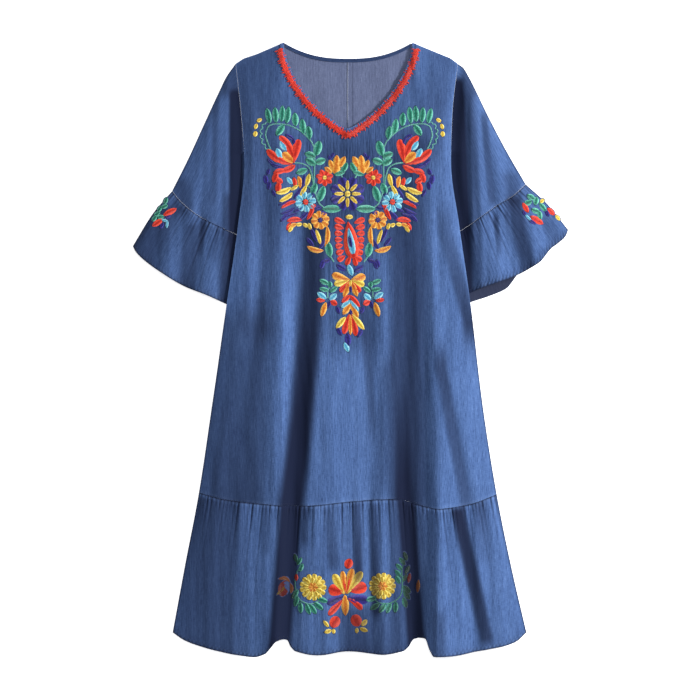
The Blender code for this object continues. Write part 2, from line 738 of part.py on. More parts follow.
def ruffle(side, cuff_front, cuff_back, material):
    """A flared tube from the cuff seam to its own hem: gathers at the seam and broad flares at the hem."""
    start, end = np.array(side.cuff[0]), np.array(side.cuff[-1])
    seam_way = (end - start) / np.linalg.norm(end - start)
    off_seam = SEAM_GAP * np.array([side.sign * abs(seam_way[1]), -abs(seam_way[0])])
    t = np.array(RUFFLE_ROWS)
    front_s = with_rolls(gather_columns(RUFFLE_GATHERS) / RUFFLE_GATHERS, np.linalg.norm(end - start))
    outer = along((start + off_seam, side.ruffle_edge, side.hem[0]), t)
    inner = straight(end + off_seam, side.hem[-1], t)
    seam = np.stack([np.interp(front_s, cuff_front[0], cuff_front[1][:, k]) for k in (0, 1)], axis=-1)
    plan = patch_points(front_s, t, seam + off_seam, along(side.hem, front_s), outer, inner)
    distance = np.linalg.norm(plan - plan[:1], axis=-1)
    drift = RUFFLE_FLARE_DRIFT * np.sin(RUFFLE_FLARES * front_s)
    flare = 0.5 - 0.5 * np.cos(2 * np.pi * RUFFLE_FLARES * front_s + drift)
    waves = gather_wave(front_s * RUFFLE_GATHERS, distance) + RUFFLE_FLARE_RISE * flare * t[:, None]
    front = add_height(plan, sleeve_height(side, plan, front_s, waves))
    back_s, back_seam = cuff_back
    inner = straight(end + off_seam, side.back_hem[-1], t)
    back_plan = patch_points(back_s, t, back_seam + off_seam, along(side.back_hem, back_s), outer, inner)
    back = add_height(back_plan, np.zeros(back_plan.shape[:2]))
    flat_tube(f"sleeve_ruffle_{side.name}", side, front, back[:, 1:-1], material)


def build():
    clear_scene()
    denim = cloth_material("denim", DENIM)
    inside = cloth_material("denim_inside", DENIM_INSIDE)
    band = cloth_material("denim_band", DENIM_BAND)
    front_u, front = front_panel(denim)
    back_u = back_panels(inside, inside)
    neck_band_front(front, band)
    neck_band_back(band)
    centre_back_allowance(inside)
    hem_tier_front(front_u, denim)
    hem_tier_back(back_u, denim)
    left = Side(
        "left",
        -1,
        left_edge,
        LEFT_SLEEVE_EDGE,
        LEFT_UNDERARM_FOLD,
        LEFT_CUFF,
        LEFT_RUFFLE_EDGE,
        LEFT_HEM,
        LEFT_BACK_HEM,
        LEFT_SLEEVE_FOLDS,
    )
    right = Side(
        "right",
        1,
        right_edge,
        RIGHT_SLEEVE_EDGE,
        RIGHT_UNDERARM_FOLD,
        RIGHT_CUFF,
        RIGHT_RUFFLE_EDGE,
        RIGHT_HEM,
        RIGHT_BACK_HEM,
        RIGHT_SLEEVE_FOLDS,
    )
    for side in (left, right):
        cuff_front, cuff_back = sleeve(side, denim)
        ruffle(side, cuff_front, cuff_back, denim)


build()
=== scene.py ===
"""A denim dress laid flat, face up, with sleeve ruffles, a gathered hem tier and bright floral embroidery.

Metres, except for the places and sizes of petals, which are in millimetres. X runs across the dress,
Y from hem to neck and Z up from the floor. Left and right are as seen from above.
"""

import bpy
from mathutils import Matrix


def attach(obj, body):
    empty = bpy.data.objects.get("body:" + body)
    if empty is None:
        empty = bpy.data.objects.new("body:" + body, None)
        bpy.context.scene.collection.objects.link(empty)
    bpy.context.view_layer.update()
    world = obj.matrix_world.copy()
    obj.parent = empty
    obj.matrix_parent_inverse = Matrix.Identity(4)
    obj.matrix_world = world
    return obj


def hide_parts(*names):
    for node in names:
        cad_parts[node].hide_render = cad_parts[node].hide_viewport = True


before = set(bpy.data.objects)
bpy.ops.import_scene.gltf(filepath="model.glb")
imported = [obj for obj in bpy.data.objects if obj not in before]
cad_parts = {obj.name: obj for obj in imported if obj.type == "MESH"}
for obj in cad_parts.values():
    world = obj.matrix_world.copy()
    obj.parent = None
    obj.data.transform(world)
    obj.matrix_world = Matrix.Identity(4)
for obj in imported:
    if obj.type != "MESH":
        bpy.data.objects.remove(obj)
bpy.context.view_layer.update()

from collections import namedtuple

import bpy
import numpy as np

# Camera: straight above the dress, with the neck at the top of the picture.
# The picture's width takes in 1.12 m of the cloth's mean level.
PICTURE_WIDTH = 1.12
CLOTH_LEVEL = 0.008
PICTURE_MIDDLE = (-0.0008, -0.0008)
LENS = 100.0
SENSOR = 36.0
camera = bpy.data.objects.new("camera", bpy.data.cameras.new("camera"))
camera.data.lens = LENS
camera.data.sensor_width = SENSOR
camera.location = (*PICTURE_MIDDLE, CLOTH_LEVEL + PICTURE_WIDTH * LENS / SENSOR)
bpy.context.scene.collection.objects.link(camera)
bpy.context.scene.camera = camera

# Floor and light: a plain white studio table, lit through from below as for a cut-out picture,
# under soft light from all round, with one lamp low on the right and a weaker one above.
FLOOR_SIZE = 30.0
FLOOR_STEPS = 25
FLOOR_Z = -0.0006
floor_mesh = bpy.data.meshes.new("floor")
floor_steps = np.linspace(-FLOOR_SIZE / 2, FLOOR_SIZE / 2, FLOOR_STEPS)
floor_x, floor_y = np.meshgrid(floor_steps, floor_steps)
floor_index = np.arange(FLOOR_STEPS ** 2).reshape(FLOOR_STEPS, FLOOR_STEPS)
floor_faces = np.stack(
    [floor_index[:-1, :-1], floor_index[:-1, 1:], floor_index[1:, 1:], floor_index[1:, :-1]], axis=-1
).reshape(-1, 4)
floor_points = np.stack([floor_x, floor_y, np.full_like(floor_x, FLOOR_Z)], axis=-1).reshape(-1, 3)
floor_mesh.from_pydata(floor_points.tolist(), [], floor_faces.tolist())
floor = bpy.data.objects.new("floor", floor_mesh)
bpy.context.scene.collection.objects.link(floor)


def add_node(tree, kind, inputs=(), **settings):
    """A shader node. Inputs are pairs of a socket's name or number and a value or another node's output."""
    made = tree.nodes.new("ShaderNode" + kind)
    for name, value in settings.items():
        setattr(made, name, value)
    for socket, value in inputs:
        if isinstance(value, bpy.types.NodeSocket):
            tree.links.new(value, made.inputs[socket])
        else:
            made.inputs[socket].default_value = value
    return made


def new_material(name, roughness, sheen=0.0):
    """An empty material with its main shader, whose roughness and sheen are constants."""
    material = bpy.data.materials.new(name)
    material.use_nodes = True
    shader = material.node_tree.nodes["Principled BSDF"]
    shader.inputs["Roughness"].default_value = roughness
    shader.inputs["Sheen Weight"].default_value = sheen
    shader.inputs["Specular IOR Level"].default_value = 0.25
    return material, material.node_tree, shader


def noise(tree, vector, scale, detail=2.0):
    """Soft noise, with its own scale along each direction, from 0 to 1."""
    placed = add_node(tree, "Mapping", [("Vector", vector), ("Scale", scale)])
    made = add_node(tree, "TexNoise", [("Vector", placed.outputs[0]), ("Scale", 1.0), ("Detail", detail)])
    return made.outputs[0]


def maths(tree, operation, first, second=0.0, third=0.0):
    """The output of a maths node on two or three values or outputs."""
    made = add_node(tree, "Math", [(0, first), (1, second), (2, third)], operation=operation)
    return made.outputs[0]


floor_material, floor_tree, floor_shader = new_material("studio_table", 0.7)
floor_at = add_node(floor_tree, "TexCoord").outputs["Object"]
floor_ramp = add_node(floor_tree, "ValToRGB", [(0, noise(floor_tree, floor_at, (3, 3, 3)))])
floor_ramp.color_ramp.elements[0].color = (0.86, 0.86, 0.86, 1)
floor_ramp.color_ramp.elements[1].color = (0.90, 0.90, 0.90, 1)
floor_tree.links.new(floor_ramp.outputs[0], floor_shader.inputs["Base Color"])
floor_tree.links.new(floor_ramp.outputs[0], floor_shader.inputs["Emission Color"])
floor_shader.inputs["Emission Strength"].default_value = 0.75
floor_mesh.materials.append(floor_material)

Lamp = namedtuple("Lamp", "name place power size")
LAMPS = (
    Lamp("side_lamp", (2.7, 0.7, 1.45), 160.0, 0.5),
    Lamp("top_lamp", (0.5, 0.8, 3.0), 30.0, 1.0),
)
for lamp in LAMPS:
    light = bpy.data.objects.new(lamp.name, bpy.data.lights.new(lamp.name, "AREA"))
    light.data.energy = lamp.power
    light.data.size = lamp.size
    light.location = lamp.place
    light.rotation_euler = (-light.location).to_track_quat("-Z", "Y").to_euler()
    bpy.context.scene.collection.objects.link(light)
world = bpy.data.worlds.new("studio")
world.use_nodes = True
world.node_tree.nodes["Background"].inputs["Color"].default_value = (0.95, 0.97, 1.0, 1)
world.node_tree.nodes["Background"].inputs["Strength"].default_value = 0.47
bpy.context.scene.world = world
bpy.context.scene.view_settings.view_transform = "Standard"

# Back of the body: two flat panels of thin denim that meet at the centre back seam.
# Their greyer inner face shows in the neck, and a sleeve is tucked under each side.
CLOTH = 0.0012
SEAM_GAP = 0.0003
TWO_LAYERS = 2 * CLOTH + SEAM_GAP
UP = np.array([0.0, 0.0, 1.0])
Section = namedtuple("Section", "y left right")
BODY_SECTIONS = (
    Section(-0.4535, -0.285, 0.282),
    Section(-0.345, -0.265, 0.257),
    Section(-0.230, -0.243, 0.234),
    Section(-0.090, -0.222, 0.212),
    Section(0.075, -0.198, 0.192),
    Section(0.200, -0.180, 0.174),
    Section(0.300, -0.170, 0.161),
    Section(0.375, -0.175, 0.163),
    Section(0.458, -0.184, 0.172),
    Section(0.492, -0.188, 0.176),
)
HEM_CORNER_Y = -0.4535
UNDERARM_Y = 0.300
SHOULDER_Y = 0.458
NECK_X = -0.004
NECK_HALF_WIDTH = 0.103
NECK_POINT_Y = 0.492
FRONT_NECK_DEPTH = 0.138
FRONT_NECK_ACROSS = 1.3
FRONT_NECK_DOWN = 1.7
BACK_NECK_DEPTH = 0.0257
BACK_NECK_ACROSS = 2.5
Point = namedtuple("Point", "x y")
SHOULDERS = (
    Point(-0.184, 0.458),
    Point(-0.171, 0.4665),
    Point(-0.150, 0.4735),
    Point(-0.107, 0.492),
    Point(0.099, 0.492),
    Point(0.145, 0.4730),
    Point(0.160, 0.4670),
    Point(0.172, 0.458),
)
TIER_SEAM = (
    Point(-0.243, -0.229),
    Point(-0.198, -0.240),
    Point(-0.145, -0.246),
    Point(-0.076, -0.250),
    Point(0.000, -0.243),
    Point(0.070, -0.239),
    Point(0.104, -0.247),
    Point(0.135, -0.254),
    Point(0.185, -0.248),
    Point(0.234, -0.232),
)
TUCK_LIFT = 0.0032
TUCK_FULL = 0.020
TUCK_END = 0.050
TUCK_LOW_Y = (-0.031, 0.033)
TUCK_HIGH_Y = (0.3195, 0.357)
BACK_SIDE_COLUMNS = 16
BACK_NECK_COLUMNS = 26
BACK_ROWS = 110
BACK_RIPPLE = 0.00035
BACK_RIPPLE_PITCH = 0.047
BACK_RIPPLE_SWAY = 0.8
BACK_RIPPLE_SWAY_LENGTH = 0.06
BACK_RIPPLE_FADE = 0.03
TOP_ROUNDS = 12
CROWDING = 1.4


def smooth_step(value):
    """0 below 0, 1 above 1, and an S-curve between."""
    t = np.clip(value, 0.0, 1.0)
    return t * t * (3.0 - 2.0 * t)


def smooth_curve(at, stops, values):
    """A cubic curve through the stops that never swings past them: level at each high and low one."""
    stops = np.asarray(stops, float)
    values = np.asarray(values, float)
    chords = np.diff(values) / np.diff(stops)
    product = chords[:-1] * chords[1:]
    middle = np.where(product > 0, 2 * product / np.where(product > 0, chords[:-1] + chords[1:], 1.0), 0.0)
    slopes = np.concatenate([chords[:1], middle, chords[-1:]])
    cell = np.clip(np.searchsorted(stops, at) - 1, 0, len(stops) - 2)
    width = stops[cell + 1] - stops[cell]
    t = (at - stops[cell]) / width
    from_low = (1 + 2 * t) * (1 - t) ** 2 * values[cell] + t * (1 - t) ** 2 * width * slopes[cell]
    from_high = t * t * (3 - 2 * t) * values[cell + 1] + t * t * (t - 1) * width * slopes[cell + 1]
    return from_low + from_high


def column(table, name):
    """One field of all the rows in a table."""
    return np.array([getattr(row, name) for row in table])


def left_edge(y):
    return smooth_curve(y, column(BODY_SECTIONS, "y"), column(BODY_SECTIONS, "left"))


def right_edge(y):
    return smooth_curve(y, column(BODY_SECTIONS, "y"), column(BODY_SECTIONS, "right"))


def across(u, y):
    """X at the share u of the body's width, at height y."""
    return left_edge(y) + u * (right_edge(y) - left_edge(y))


def share_of_width(x, y):
    return (x - left_edge(y)) / (right_edge(y) - left_edge(y))


def from_side(x, y):
    """Distance inwards from the nearer side seam or armhole."""
    return np.maximum(np.minimum(x - left_edge(y), right_edge(y) - x), 0.0)


def shoulder_line(x):
    return np.interp(x, column(SHOULDERS, "x"), column(SHOULDERS, "y"))


def from_neck_centre(x):
    """Distance from the middle of the neck as a share of its half width, at most 1."""
    return np.minimum(np.abs(x - NECK_X) / NECK_HALF_WIDTH, 1.0)


def front_neck(x):
    """A V with soft sides: a superellipse with a sharp exponent across and a blunt one down."""
    left_over = 1 - from_neck_centre(x) ** FRONT_NECK_ACROSS
    return NECK_POINT_Y - FRONT_NECK_DEPTH * left_over ** (1 / FRONT_NECK_DOWN)


def back_neck(x):
    return NECK_POINT_Y - BACK_NECK_DEPTH * (1 - from_neck_centre(x) ** BACK_NECK_ACROSS)


def in_neck(x):
    return np.abs(x - NECK_X) < NECK_HALF_WIDTH


def front_top(x):
    return np.where(in_neck(x), front_neck(x), shoulder_line(x))


def back_top(x):
    return np.where(in_neck(x), back_neck(x), shoulder_line(x))


def tuck_lift(x, y):
    """How far the back layer is held off the floor by a sleeve tucked under its side."""
    inward = np.minimum(x - left_edge(y), right_edge(y) - x)
    near_side = 1 - smooth_step((inward - TUCK_FULL) / (TUCK_END - TUCK_FULL))
    above_low = smooth_step((y - TUCK_LOW_Y[0]) / (TUCK_LOW_Y[1] - TUCK_LOW_Y[0]))
    below_high = 1 - smooth_step((y - TUCK_HIGH_Y[0]) / (TUCK_HIGH_Y[1] - TUCK_HIGH_Y[0]))
    return TUCK_LIFT * near_side * above_low * below_high


def tier_seam_y(x):
    return smooth_curve(x, column(TIER_SEAM, "x"), column(TIER_SEAM, "y"))


def body_columns(side_columns, neck_columns):
    """Shares of the width from the left side to the neck's centre, crowded towards the neck point."""
    neck_share = share_of_width(NECK_X - NECK_HALF_WIDTH, NECK_POINT_Y)
    centre_share = share_of_width(NECK_X, NECK_POINT_Y)
    side = np.linspace(0.0, neck_share, side_columns + 1)
    spread = np.linspace(0.0, 1.0, neck_columns + 1)[1:] ** CROWDING
    return np.concatenate([side, neck_share + spread * (centre_share - neck_share)])


def mirrored_columns(left_half):
    """The left half's shares and their mirror images, scaled to reach 1."""
    centre = left_half[-1]
    return np.concatenate([left_half, centre + (1 - centre) * (1 - left_half[-2::-1] / centre)])


def body_plan(u, top, rows):
    """Plan points of a body panel. Each column keeps its share of the width, from tier seam to top."""
    top_y = np.full_like(u, SHOULDER_Y)
    for _ in range(TOP_ROUNDS):
        top_y = 0.5 * (top_y + np.minimum(top(across(u, top_y)), NECK_POINT_Y))
    seam = tier_seam_y(across(u, TIER_SEAM[0].y))
    y = seam + np.linspace(0.0, 1.0, rows + 1)[:, None] * (top_y - seam)
    return across(u, y), y


WARP_DEPTH = 0.00028
WEFT_DEPTH = 0.00012
SLUB_DEPTH = 0.00026
PUCKER_DEPTH = 0.0026


def chambray(name, dark, middle, light, painted_shade_colour):
    """Denim from its UV map in metres: fine warp streaks, long slubs, short weft dashes and soft mottling.
    The wear mark pales it at seams and hems, the pucker mark raises short upright ripples,
    and the painted-shade mark mixes it towards its darkest colour:
    shade painted in folds, at turned edges and below seams."""
    material, tree, shader = new_material(name, 0.85, 0.04)
    shader.inputs["Specular IOR Level"].default_value = 0.12
    cloth = add_node(tree, "UVMap", uv_map="cloth").outputs[0]
    warp = noise(tree, cloth, (1500, 110, 1), 3)
    slub = noise(tree, cloth, (420, 26, 1), 3)
    weft = noise(tree, cloth, (150, 1500, 1), 2)
    mottle = noise(tree, cloth, (14, 9, 1), 2)
    wear = add_node(tree, "Attribute", attribute_name="wear").outputs["Fac"]
    hollow = add_node(tree, "Attribute", attribute_name="hollow").outputs["Fac"]
    pucker = add_node(tree, "Attribute", attribute_name="pucker").outputs["Fac"]
    shade = -0.50
    for part, amount in ((warp, 0.82), (slub, 0.52), (weft, 0.42), (mottle, 0.18), (wear, 0.35)):
        shade = maths(tree, "MULTIPLY_ADD", part, amount, shade)
    ramp = add_node(tree, "ValToRGB", [(0, shade)])
    ramp.color_ramp.elements[0].position = 0.20
    ramp.color_ramp.elements[0].color = (*dark, 1)
    ramp.color_ramp.elements[1].position = 0.95
    ramp.color_ramp.elements[1].color = (*light, 1)
    ramp.color_ramp.elements.new(0.52).color = (*middle, 1)
    # Painted shade: the painted-shade mark mixes the colour towards the darkest one given.
    painted_shade_node = add_node(
        tree, "Mix", [("Factor", hollow), (6, ramp.outputs[0]), (7, (*painted_shade_colour, 1))], data_type="RGBA"
    )
    tree.links.new(painted_shade_node.outputs[2], shader.inputs["Base Color"])
    ripples = noise(tree, cloth, (260, 34, 1), 1)
    ripple_height = maths(tree, "MULTIPLY", maths(tree, "SUBTRACT", ripples, 0.5), pucker)
    threads = maths(tree, "MULTIPLY_ADD", warp, WARP_DEPTH, maths(tree, "MULTIPLY", weft, WEFT_DEPTH))
    height = maths(tree, "MULTIPLY_ADD", slub, SLUB_DEPTH, threads)
    height = maths(tree, "MULTIPLY_ADD", ripple_height, PUCKER_DEPTH, height)
    bump = add_node(tree, "Bump", [("Height", height), ("Distance", 1.0), ("Strength", 0.9)])
    tree.links.new(bump.outputs[0], shader.inputs["Normal"])
    return material


def add_piece(name, points, faces, uv, uv_name, materials, material_of_face=None, marks=()):
    """A smooth mesh with a UV map and one attribute for each mark, put on the dress."""
    mesh = bpy.data.meshes.new(name)
    mesh.from_pydata(points.tolist(), [], faces)
    corners = np.empty(len(mesh.loops), np.int32)
    mesh.loops.foreach_get("vertex_index", corners)
    mesh.uv_layers.new(name=uv_name).data.foreach_set("uv", uv[corners].astype(np.float32).ravel())
    for mark, values in marks:
        attribute = mesh.attributes.new(mark, "FLOAT", "POINT")
        attribute.data.foreach_set("value", values.astype(np.float32).ravel())
    for material in materials:
        mesh.materials.append(material)
    if material_of_face is not None:
        mesh.polygons.foreach_set("material_index", material_of_face)
    mesh.shade_smooth()
    mesh.set_sharp_from_angle(angle=np.radians(65))
    piece = bpy.data.objects.new(name, mesh)
    bpy.context.scene.collection.objects.link(piece)
    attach(piece, "root")
    return piece


def unit(ways):
    """Each way, scaled to a length of 1."""
    return ways / np.linalg.norm(ways, axis=-1, keepdims=True)


def unit_normals(grid):
    """Normals of a grid of points, from the differences between neighbours."""
    return unit(np.cross(np.gradient(grid, axis=1), np.gradient(grid, axis=0)))


def cloth_sheet(name, top, uv, upper, lower, wear, pucker=None, hollow=None, thickness=CLOTH):
    """A closed wall under a grid of points: the grid again, lower by its thickness, and a rim round it."""
    rows, columns = top.shape[:2]
    under = rows * columns
    normals = unit_normals(top)
    for edge in (np.s_[0, :], np.s_[-1, :], np.s_[:, 0], np.s_[:, -1]):
        normals[edge] = UP
    index = np.arange(under).reshape(rows, columns)
    corner = index[:-1, :-1].ravel()
    quads = np.stack([corner, corner + 1, corner + columns + 1, corner + columns], axis=1)
    border = np.concatenate([index[0, :-1], index[:-1, -1], index[-1, :0:-1], index[:0:-1, 0]])
    after = np.roll(border, -1)
    rim = np.stack([border, border + under, after + under, after], axis=1)
    faces = np.concatenate([quads, rim, quads[:, ::-1] + under])
    side = np.repeat([0, 1], [len(quads) + len(rim), len(quads)])
    points = np.concatenate([top, top - thickness * normals]).reshape(-1, 3)
    marks = [("wear", np.concatenate([wear, wear]))]
    for mark, values in (("pucker", pucker), ("hollow", hollow)):
        if values is not None:
            marks.append((mark, np.concatenate([values, np.zeros_like(values)])))
    flat_uv = np.concatenate([uv, uv]).reshape(-1, 2)
    return add_piece(name, points, faces.tolist(), flat_uv, "cloth", [upper, lower], side, marks)


denim = chambray(
    "denim", (0.027, 0.055, 0.150), (0.062, 0.120, 0.285), (0.130, 0.218, 0.450), (0.004, 0.008, 0.028)
)
denim_inside = chambray(
    "denim_inside", (0.055, 0.068, 0.125), (0.095, 0.115, 0.200), (0.16, 0.19, 0.30), (0.010, 0.014, 0.035)
)


def back_ripple(x, y):
    """Very soft upright ripples in the back layer, level at its edges."""
    level = smooth_step(from_side(x, y) / BACK_RIPPLE_FADE)
    level = level * smooth_step((back_top(x) - y) / BACK_RIPPLE_FADE)
    sway = BACK_RIPPLE_SWAY * np.sin(y / BACK_RIPPLE_SWAY_LENGTH)
    return BACK_RIPPLE * level * (1 + np.sin(2 * np.pi * x / BACK_RIPPLE_PITCH + sway))


def near(distance, reach):
    """1 at a seam or hem, fading over its reach."""
    return np.exp(-((distance / reach) ** 2))


CENTRE_SEAM_WEAR_REACH = 0.002
back_left_u = body_columns(BACK_SIDE_COLUMNS, BACK_NECK_COLUMNS)
back_right_u = mirrored_columns(back_left_u)[len(back_left_u) - 1 :]
for side_name, u, sign in (("left", back_left_u, -1), ("right", back_right_u, 1)):
    x, y = body_plan(u, back_top, BACK_ROWS)
    x[:, -1 if sign < 0 else 0] += sign * SEAM_GAP / 2
    z = CLOTH + tuck_lift(x, y) + back_ripple(x, y)
    wear = 0.8 * near(x - NECK_X, CENTRE_SEAM_WEAR_REACH)
    panel = cloth_sheet(
        f"back_{side_name}", np.stack([x, y, z], -1), np.stack([x, y], -1), denim_inside, denim, wear
    )
    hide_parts(f"back_panel_{side_name}")

# Front of the body: one panel of the same denim, its V neck cut soft at the sides.
# It rests on the back layer at its seams and stands over it in long folds down the skirt.
SIDE_LOFT = 0.006
SIDE_LOFT_REACH = 0.015
SHOULDER_LOFT_REACH = 0.020
NECK_LOFT_REACH = 0.030
NECK_LOFT_SHARE = 0.35
OUTSIDE_NECK = 0.050
SOFTEST_RISE = 0.001
FOLD_FADE = 0.050
FRONT_SIDE_COLUMNS = 30
FRONT_NECK_COLUMNS = 60
FRONT_ROWS = 270
Fold = namedtuple("Fold", "x_top y_top x_end y_end bow rise_top rise_end left right")
BODY_FOLDS = (
    Fold(-0.112, 0.250, -0.121, -0.480, 0.006, 0.003, 0.016, 0.034, 0.012),
    Fold(-0.078, 0.130, -0.104, -0.480, 0.004, -0.002, -0.006, 0.016, 0.015),
    Fold(-0.024, 0.120, -0.030, -0.480, 0.000, 0.001, 0.007, 0.026, 0.038),
    Fold(0.052, 0.070, 0.050, -0.480, 0.002, 0.002, 0.004, 0.012, 0.014),
    Fold(0.094, 0.030, 0.110, -0.480, -0.012, -0.002, -0.006, 0.016, 0.016),
    Fold(0.130, 0.200, 0.138, -0.480, 0.009, 0.003, 0.015, 0.014, 0.036),
    Fold(0.155, -0.060, 0.192, -0.240, 0.000, -0.002, -0.003, 0.009, 0.009),
)
CREASES = (
    Fold(-0.158, 0.330, -0.163, 0.090, 0.000, 0.0012, 0.0018, 0.006, 0.006),
    Fold(-0.142, 0.300, -0.146, 0.080, 0.000, -0.0014, -0.0022, 0.009, 0.009),
    Fold(-0.180, 0.060, -0.212, -0.200, 0.000, 0.0012, 0.0020, 0.008, 0.010),
    Fold(-0.004, 0.335, -0.005, 0.235, 0.000, 0.0012, 0.0004, 0.004, 0.004),
    Fold(0.090, 0.430, 0.066, 0.382, 0.000, 0.0010, 0.0010, 0.004, 0.004),
    Fold(0.178, 0.071, 0.193, 0.007, 0.000, -0.0012, -0.0016, 0.003, 0.003),
    Fold(0.150, 0.300, 0.152, 0.120, 0.000, 0.0016, 0.0014, 0.006, 0.006),
    Fold(0.136, 0.290, 0.140, 0.130, 0.000, -0.0004, -0.0006, 0.006, 0.008),
    Fold(-0.060, -0.020, -0.066, -0.240, 0.000, 0.0010, 0.0016, 0.008, 0.008),
    Fold(0.004, 0.020, 0.002, -0.240, 0.000, -0.0006, -0.0010, 0.010, 0.010),
    Fold(0.030, 0.040, 0.030, -0.240, 0.000, -0.0020, -0.0012, 0.009, 0.010),
    Fold(0.118, 0.000, 0.122, -0.240, 0.000, -0.0010, -0.0012, 0.006, 0.006),
    Fold(-0.120, 0.440, -0.118, 0.300, 0.000, 0.0010, 0.0012, 0.010, 0.010),
    Fold(0.110, 0.440, 0.114, 0.300, 0.000, 0.0010, 0.0012, 0.010, 0.010),
    Fold(-0.196, -0.040, -0.225, -0.230, 0.000, -0.0010, -0.0016, 0.007, 0.007),
)
# A hollow is a fold of painted shade: its rises are the shares of the light that it takes from the cloth's
# colour.
BODY_HOLLOWS = (
    Fold(-0.058, 0.190, -0.095, -0.245, 0.005, 0.46, 0.84, 0.020, 0.020),
    Fold(-0.126, 0.300, -0.136, 0.040, 0.000, 0.08, 0.22, 0.018, 0.022),
    Fold(-0.170, 0.030, -0.181, -0.245, 0.000, 0.26, 0.42, 0.070, 0.045),
    Fold(-0.145, 0.060, -0.150, -0.060, 0.000, 0.10, 0.10, 0.012, 0.012),
    Fold(-0.150, 0.470, -0.145, 0.330, 0.000, 0.14, 0.08, 0.050, 0.030),
    Fold(0.150, 0.470, 0.128, 0.330, 0.000, 0.16, 0.24, 0.030, 0.018),
    Fold(0.000, 0.310, 0.006, 0.030, 0.000, 0.22, 0.18, 0.058, 0.046),
    Fold(0.084, 0.310, 0.084, -0.245, 0.000, 0.36, 0.47, 0.022, 0.036),
    Fold(0.116, 0.120, 0.112, -0.245, 0.000, 0.12, 0.16, 0.030, 0.014),
    Fold(0.082, -0.100, 0.084, -0.245, 0.000, 0.12, 0.50, 0.012, 0.014),
    Fold(0.022, 0.060, 0.034, -0.110, 0.000, 0.30, 0.20, 0.008, 0.009),
    Fold(0.045, -0.120, 0.045, -0.245, 0.000, 0.02, 0.06, 0.030, 0.030),
    Fold(0.150, 0.195, 0.190, 0.045, 0.000, 0.20, 0.50, 0.012, 0.013),
    Fold(0.145, -0.030, 0.184, -0.240, 0.000, 0.42, 0.32, 0.011, 0.010),
    Fold(0.058, -0.040, 0.052, -0.190, 0.000, 0.18, 0.12, 0.012, 0.014),
    Fold(-0.162, 0.160, -0.168, 0.060, 0.000, 0.02, 0.22, 0.012, 0.010),
)
TIER_HOLLOWS = (
    Fold(-0.094, -0.245, -0.114, -0.480, 0.000, 0.92, 0.92, 0.018, 0.017),
    Fold(-0.078, -0.245, -0.088, -0.480, 0.000, 0.05, 0.18, 0.012, 0.012),
    Fold(-0.225, -0.245, -0.230, -0.480, 0.000, 0.39, 0.36, 0.060, 0.060),
    Fold(-0.134, -0.252, -0.135, -0.315, 0.000, 0.20, 0.14, 0.006, 0.006),
    Fold(0.089, -0.245, 0.106, -0.480, 0.000, 0.86, 0.89, 0.013, 0.013),
    Fold(0.082, -0.245, 0.084, -0.480, 0.000, 0.36, 0.26, 0.020, 0.043),
    Fold(0.172, -0.262, 0.216, -0.460, 0.000, 0.68, 0.50, 0.011, 0.012),
    Fold(0.205, -0.250, 0.212, -0.330, 0.000, 0.28, 0.10, 0.010, 0.014),
    Fold(-0.034, -0.262, -0.028, -0.340, 0.000, 0.20, 0.28, 0.009, 0.009),
    Fold(0.010, -0.248, 0.013, -0.360, 0.000, 0.30, 0.55, 0.008, 0.007),
    Fold(0.036, -0.258, 0.040, -0.415, 0.000, 0.30, 0.42, 0.008, 0.010),
    Fold(-0.072, -0.256, -0.073, -0.300, 0.000, 0.30, 0.25, 0.006, 0.006),
    Fold(0.024, -0.420, 0.028, -0.480, 0.000, 0.20, 0.32, 0.040, 0.046),
    Fold(0.005, -0.425, 0.008, -0.480, 0.000, 0.20, 0.22, 0.024, 0.024),
    Fold(0.142, -0.430, 0.142, -0.480, 0.000, 0.18, 0.20, 0.010, 0.012),
)
HOLLOW_POWER = 4
BODY_HOLLOW_FADE = 0.035
TIER_HOLLOW_FADE = 0.014
YOKE_SHADE = 0.17
YOKE_LOW_Y = 0.12
YOKE_FADE = 0.12
YOKE_LIT_X = (0.085, 0.125)
YOKE_LIT_SHARE = 0.8
SEAM_FADE = 0.004
RUFFLES_LOW_Y = 0.070
RUFFLES_FADE = 0.02
EDGE_SHADE = 0.50
EDGE_REACH = 0.0018
SEAM_SHADE = 0.45
SEAM_SHADE_REACH = 0.0016
EYE_POWER = 2.2
DEEPEST_MIX = 0.93
SEAM_WEAR_REACH = 0.004
EDGE_WEAR_REACH = 0.0025
HEM_WEAR_REACH = 0.005
Drift = namedtuple("Drift", "shift length start")
SLACK_DRIFTS = (Drift(0.006, 0.11, 0.0), Drift(0.004, 0.047, 1.0))
Wave = namedtuple("Wave", "rise pitch drift start turn")
SLACK_WAVES = (
    Wave(0.0005, 0.058, 1.0, 0.6, 0.0),
    Wave(0.0004, 0.031, -1.4, 0.0, 6.25),
    Wave(0.00016, 0.0135, 0.7, 0.0, 12.5),
)
Patch = namedtuple("Patch", "x y half_width half_height reach amount")
EMBROIDERED_PATCHES = (
    Patch(NECK_X, 0.290, 0.150, 0.100, 0.85, 1.0),
    Patch(0.0, 0.110, 0.050, 0.120, 0.90, 1.0),
    Patch(0.002, -0.400, 0.105, 0.060, 0.90, 0.5),
)


def bell(fold, x, y, fade, power=2):
    """A fold's rise at each point: whole along its line, and less over its flanks and past its ends."""
    t = np.clip((fold.y_top - y) / (fold.y_top - fold.y_end), 0.0, 1.0)
    line = fold.x_top + t * (fold.x_end - fold.x_top) + 4 * fold.bow * t * (1 - t)
    rise = fold.rise_top + t * (fold.rise_end - fold.rise_top)
    beyond = np.maximum(np.maximum(y - fold.y_top, fold.y_end - y), 0.0)
    flank = np.where(x < line, fold.left, fold.right)
    return rise * np.exp(-((np.abs(x - line) / flank) ** power) - (beyond / fade) ** 2)


def fold_relief(x, y, folds, fade=FOLD_FADE):
    """The folds' heights added up."""
    relief = np.zeros_like(x)
    for fold in folds:
        relief += bell(fold, x, y, fade)
    return relief


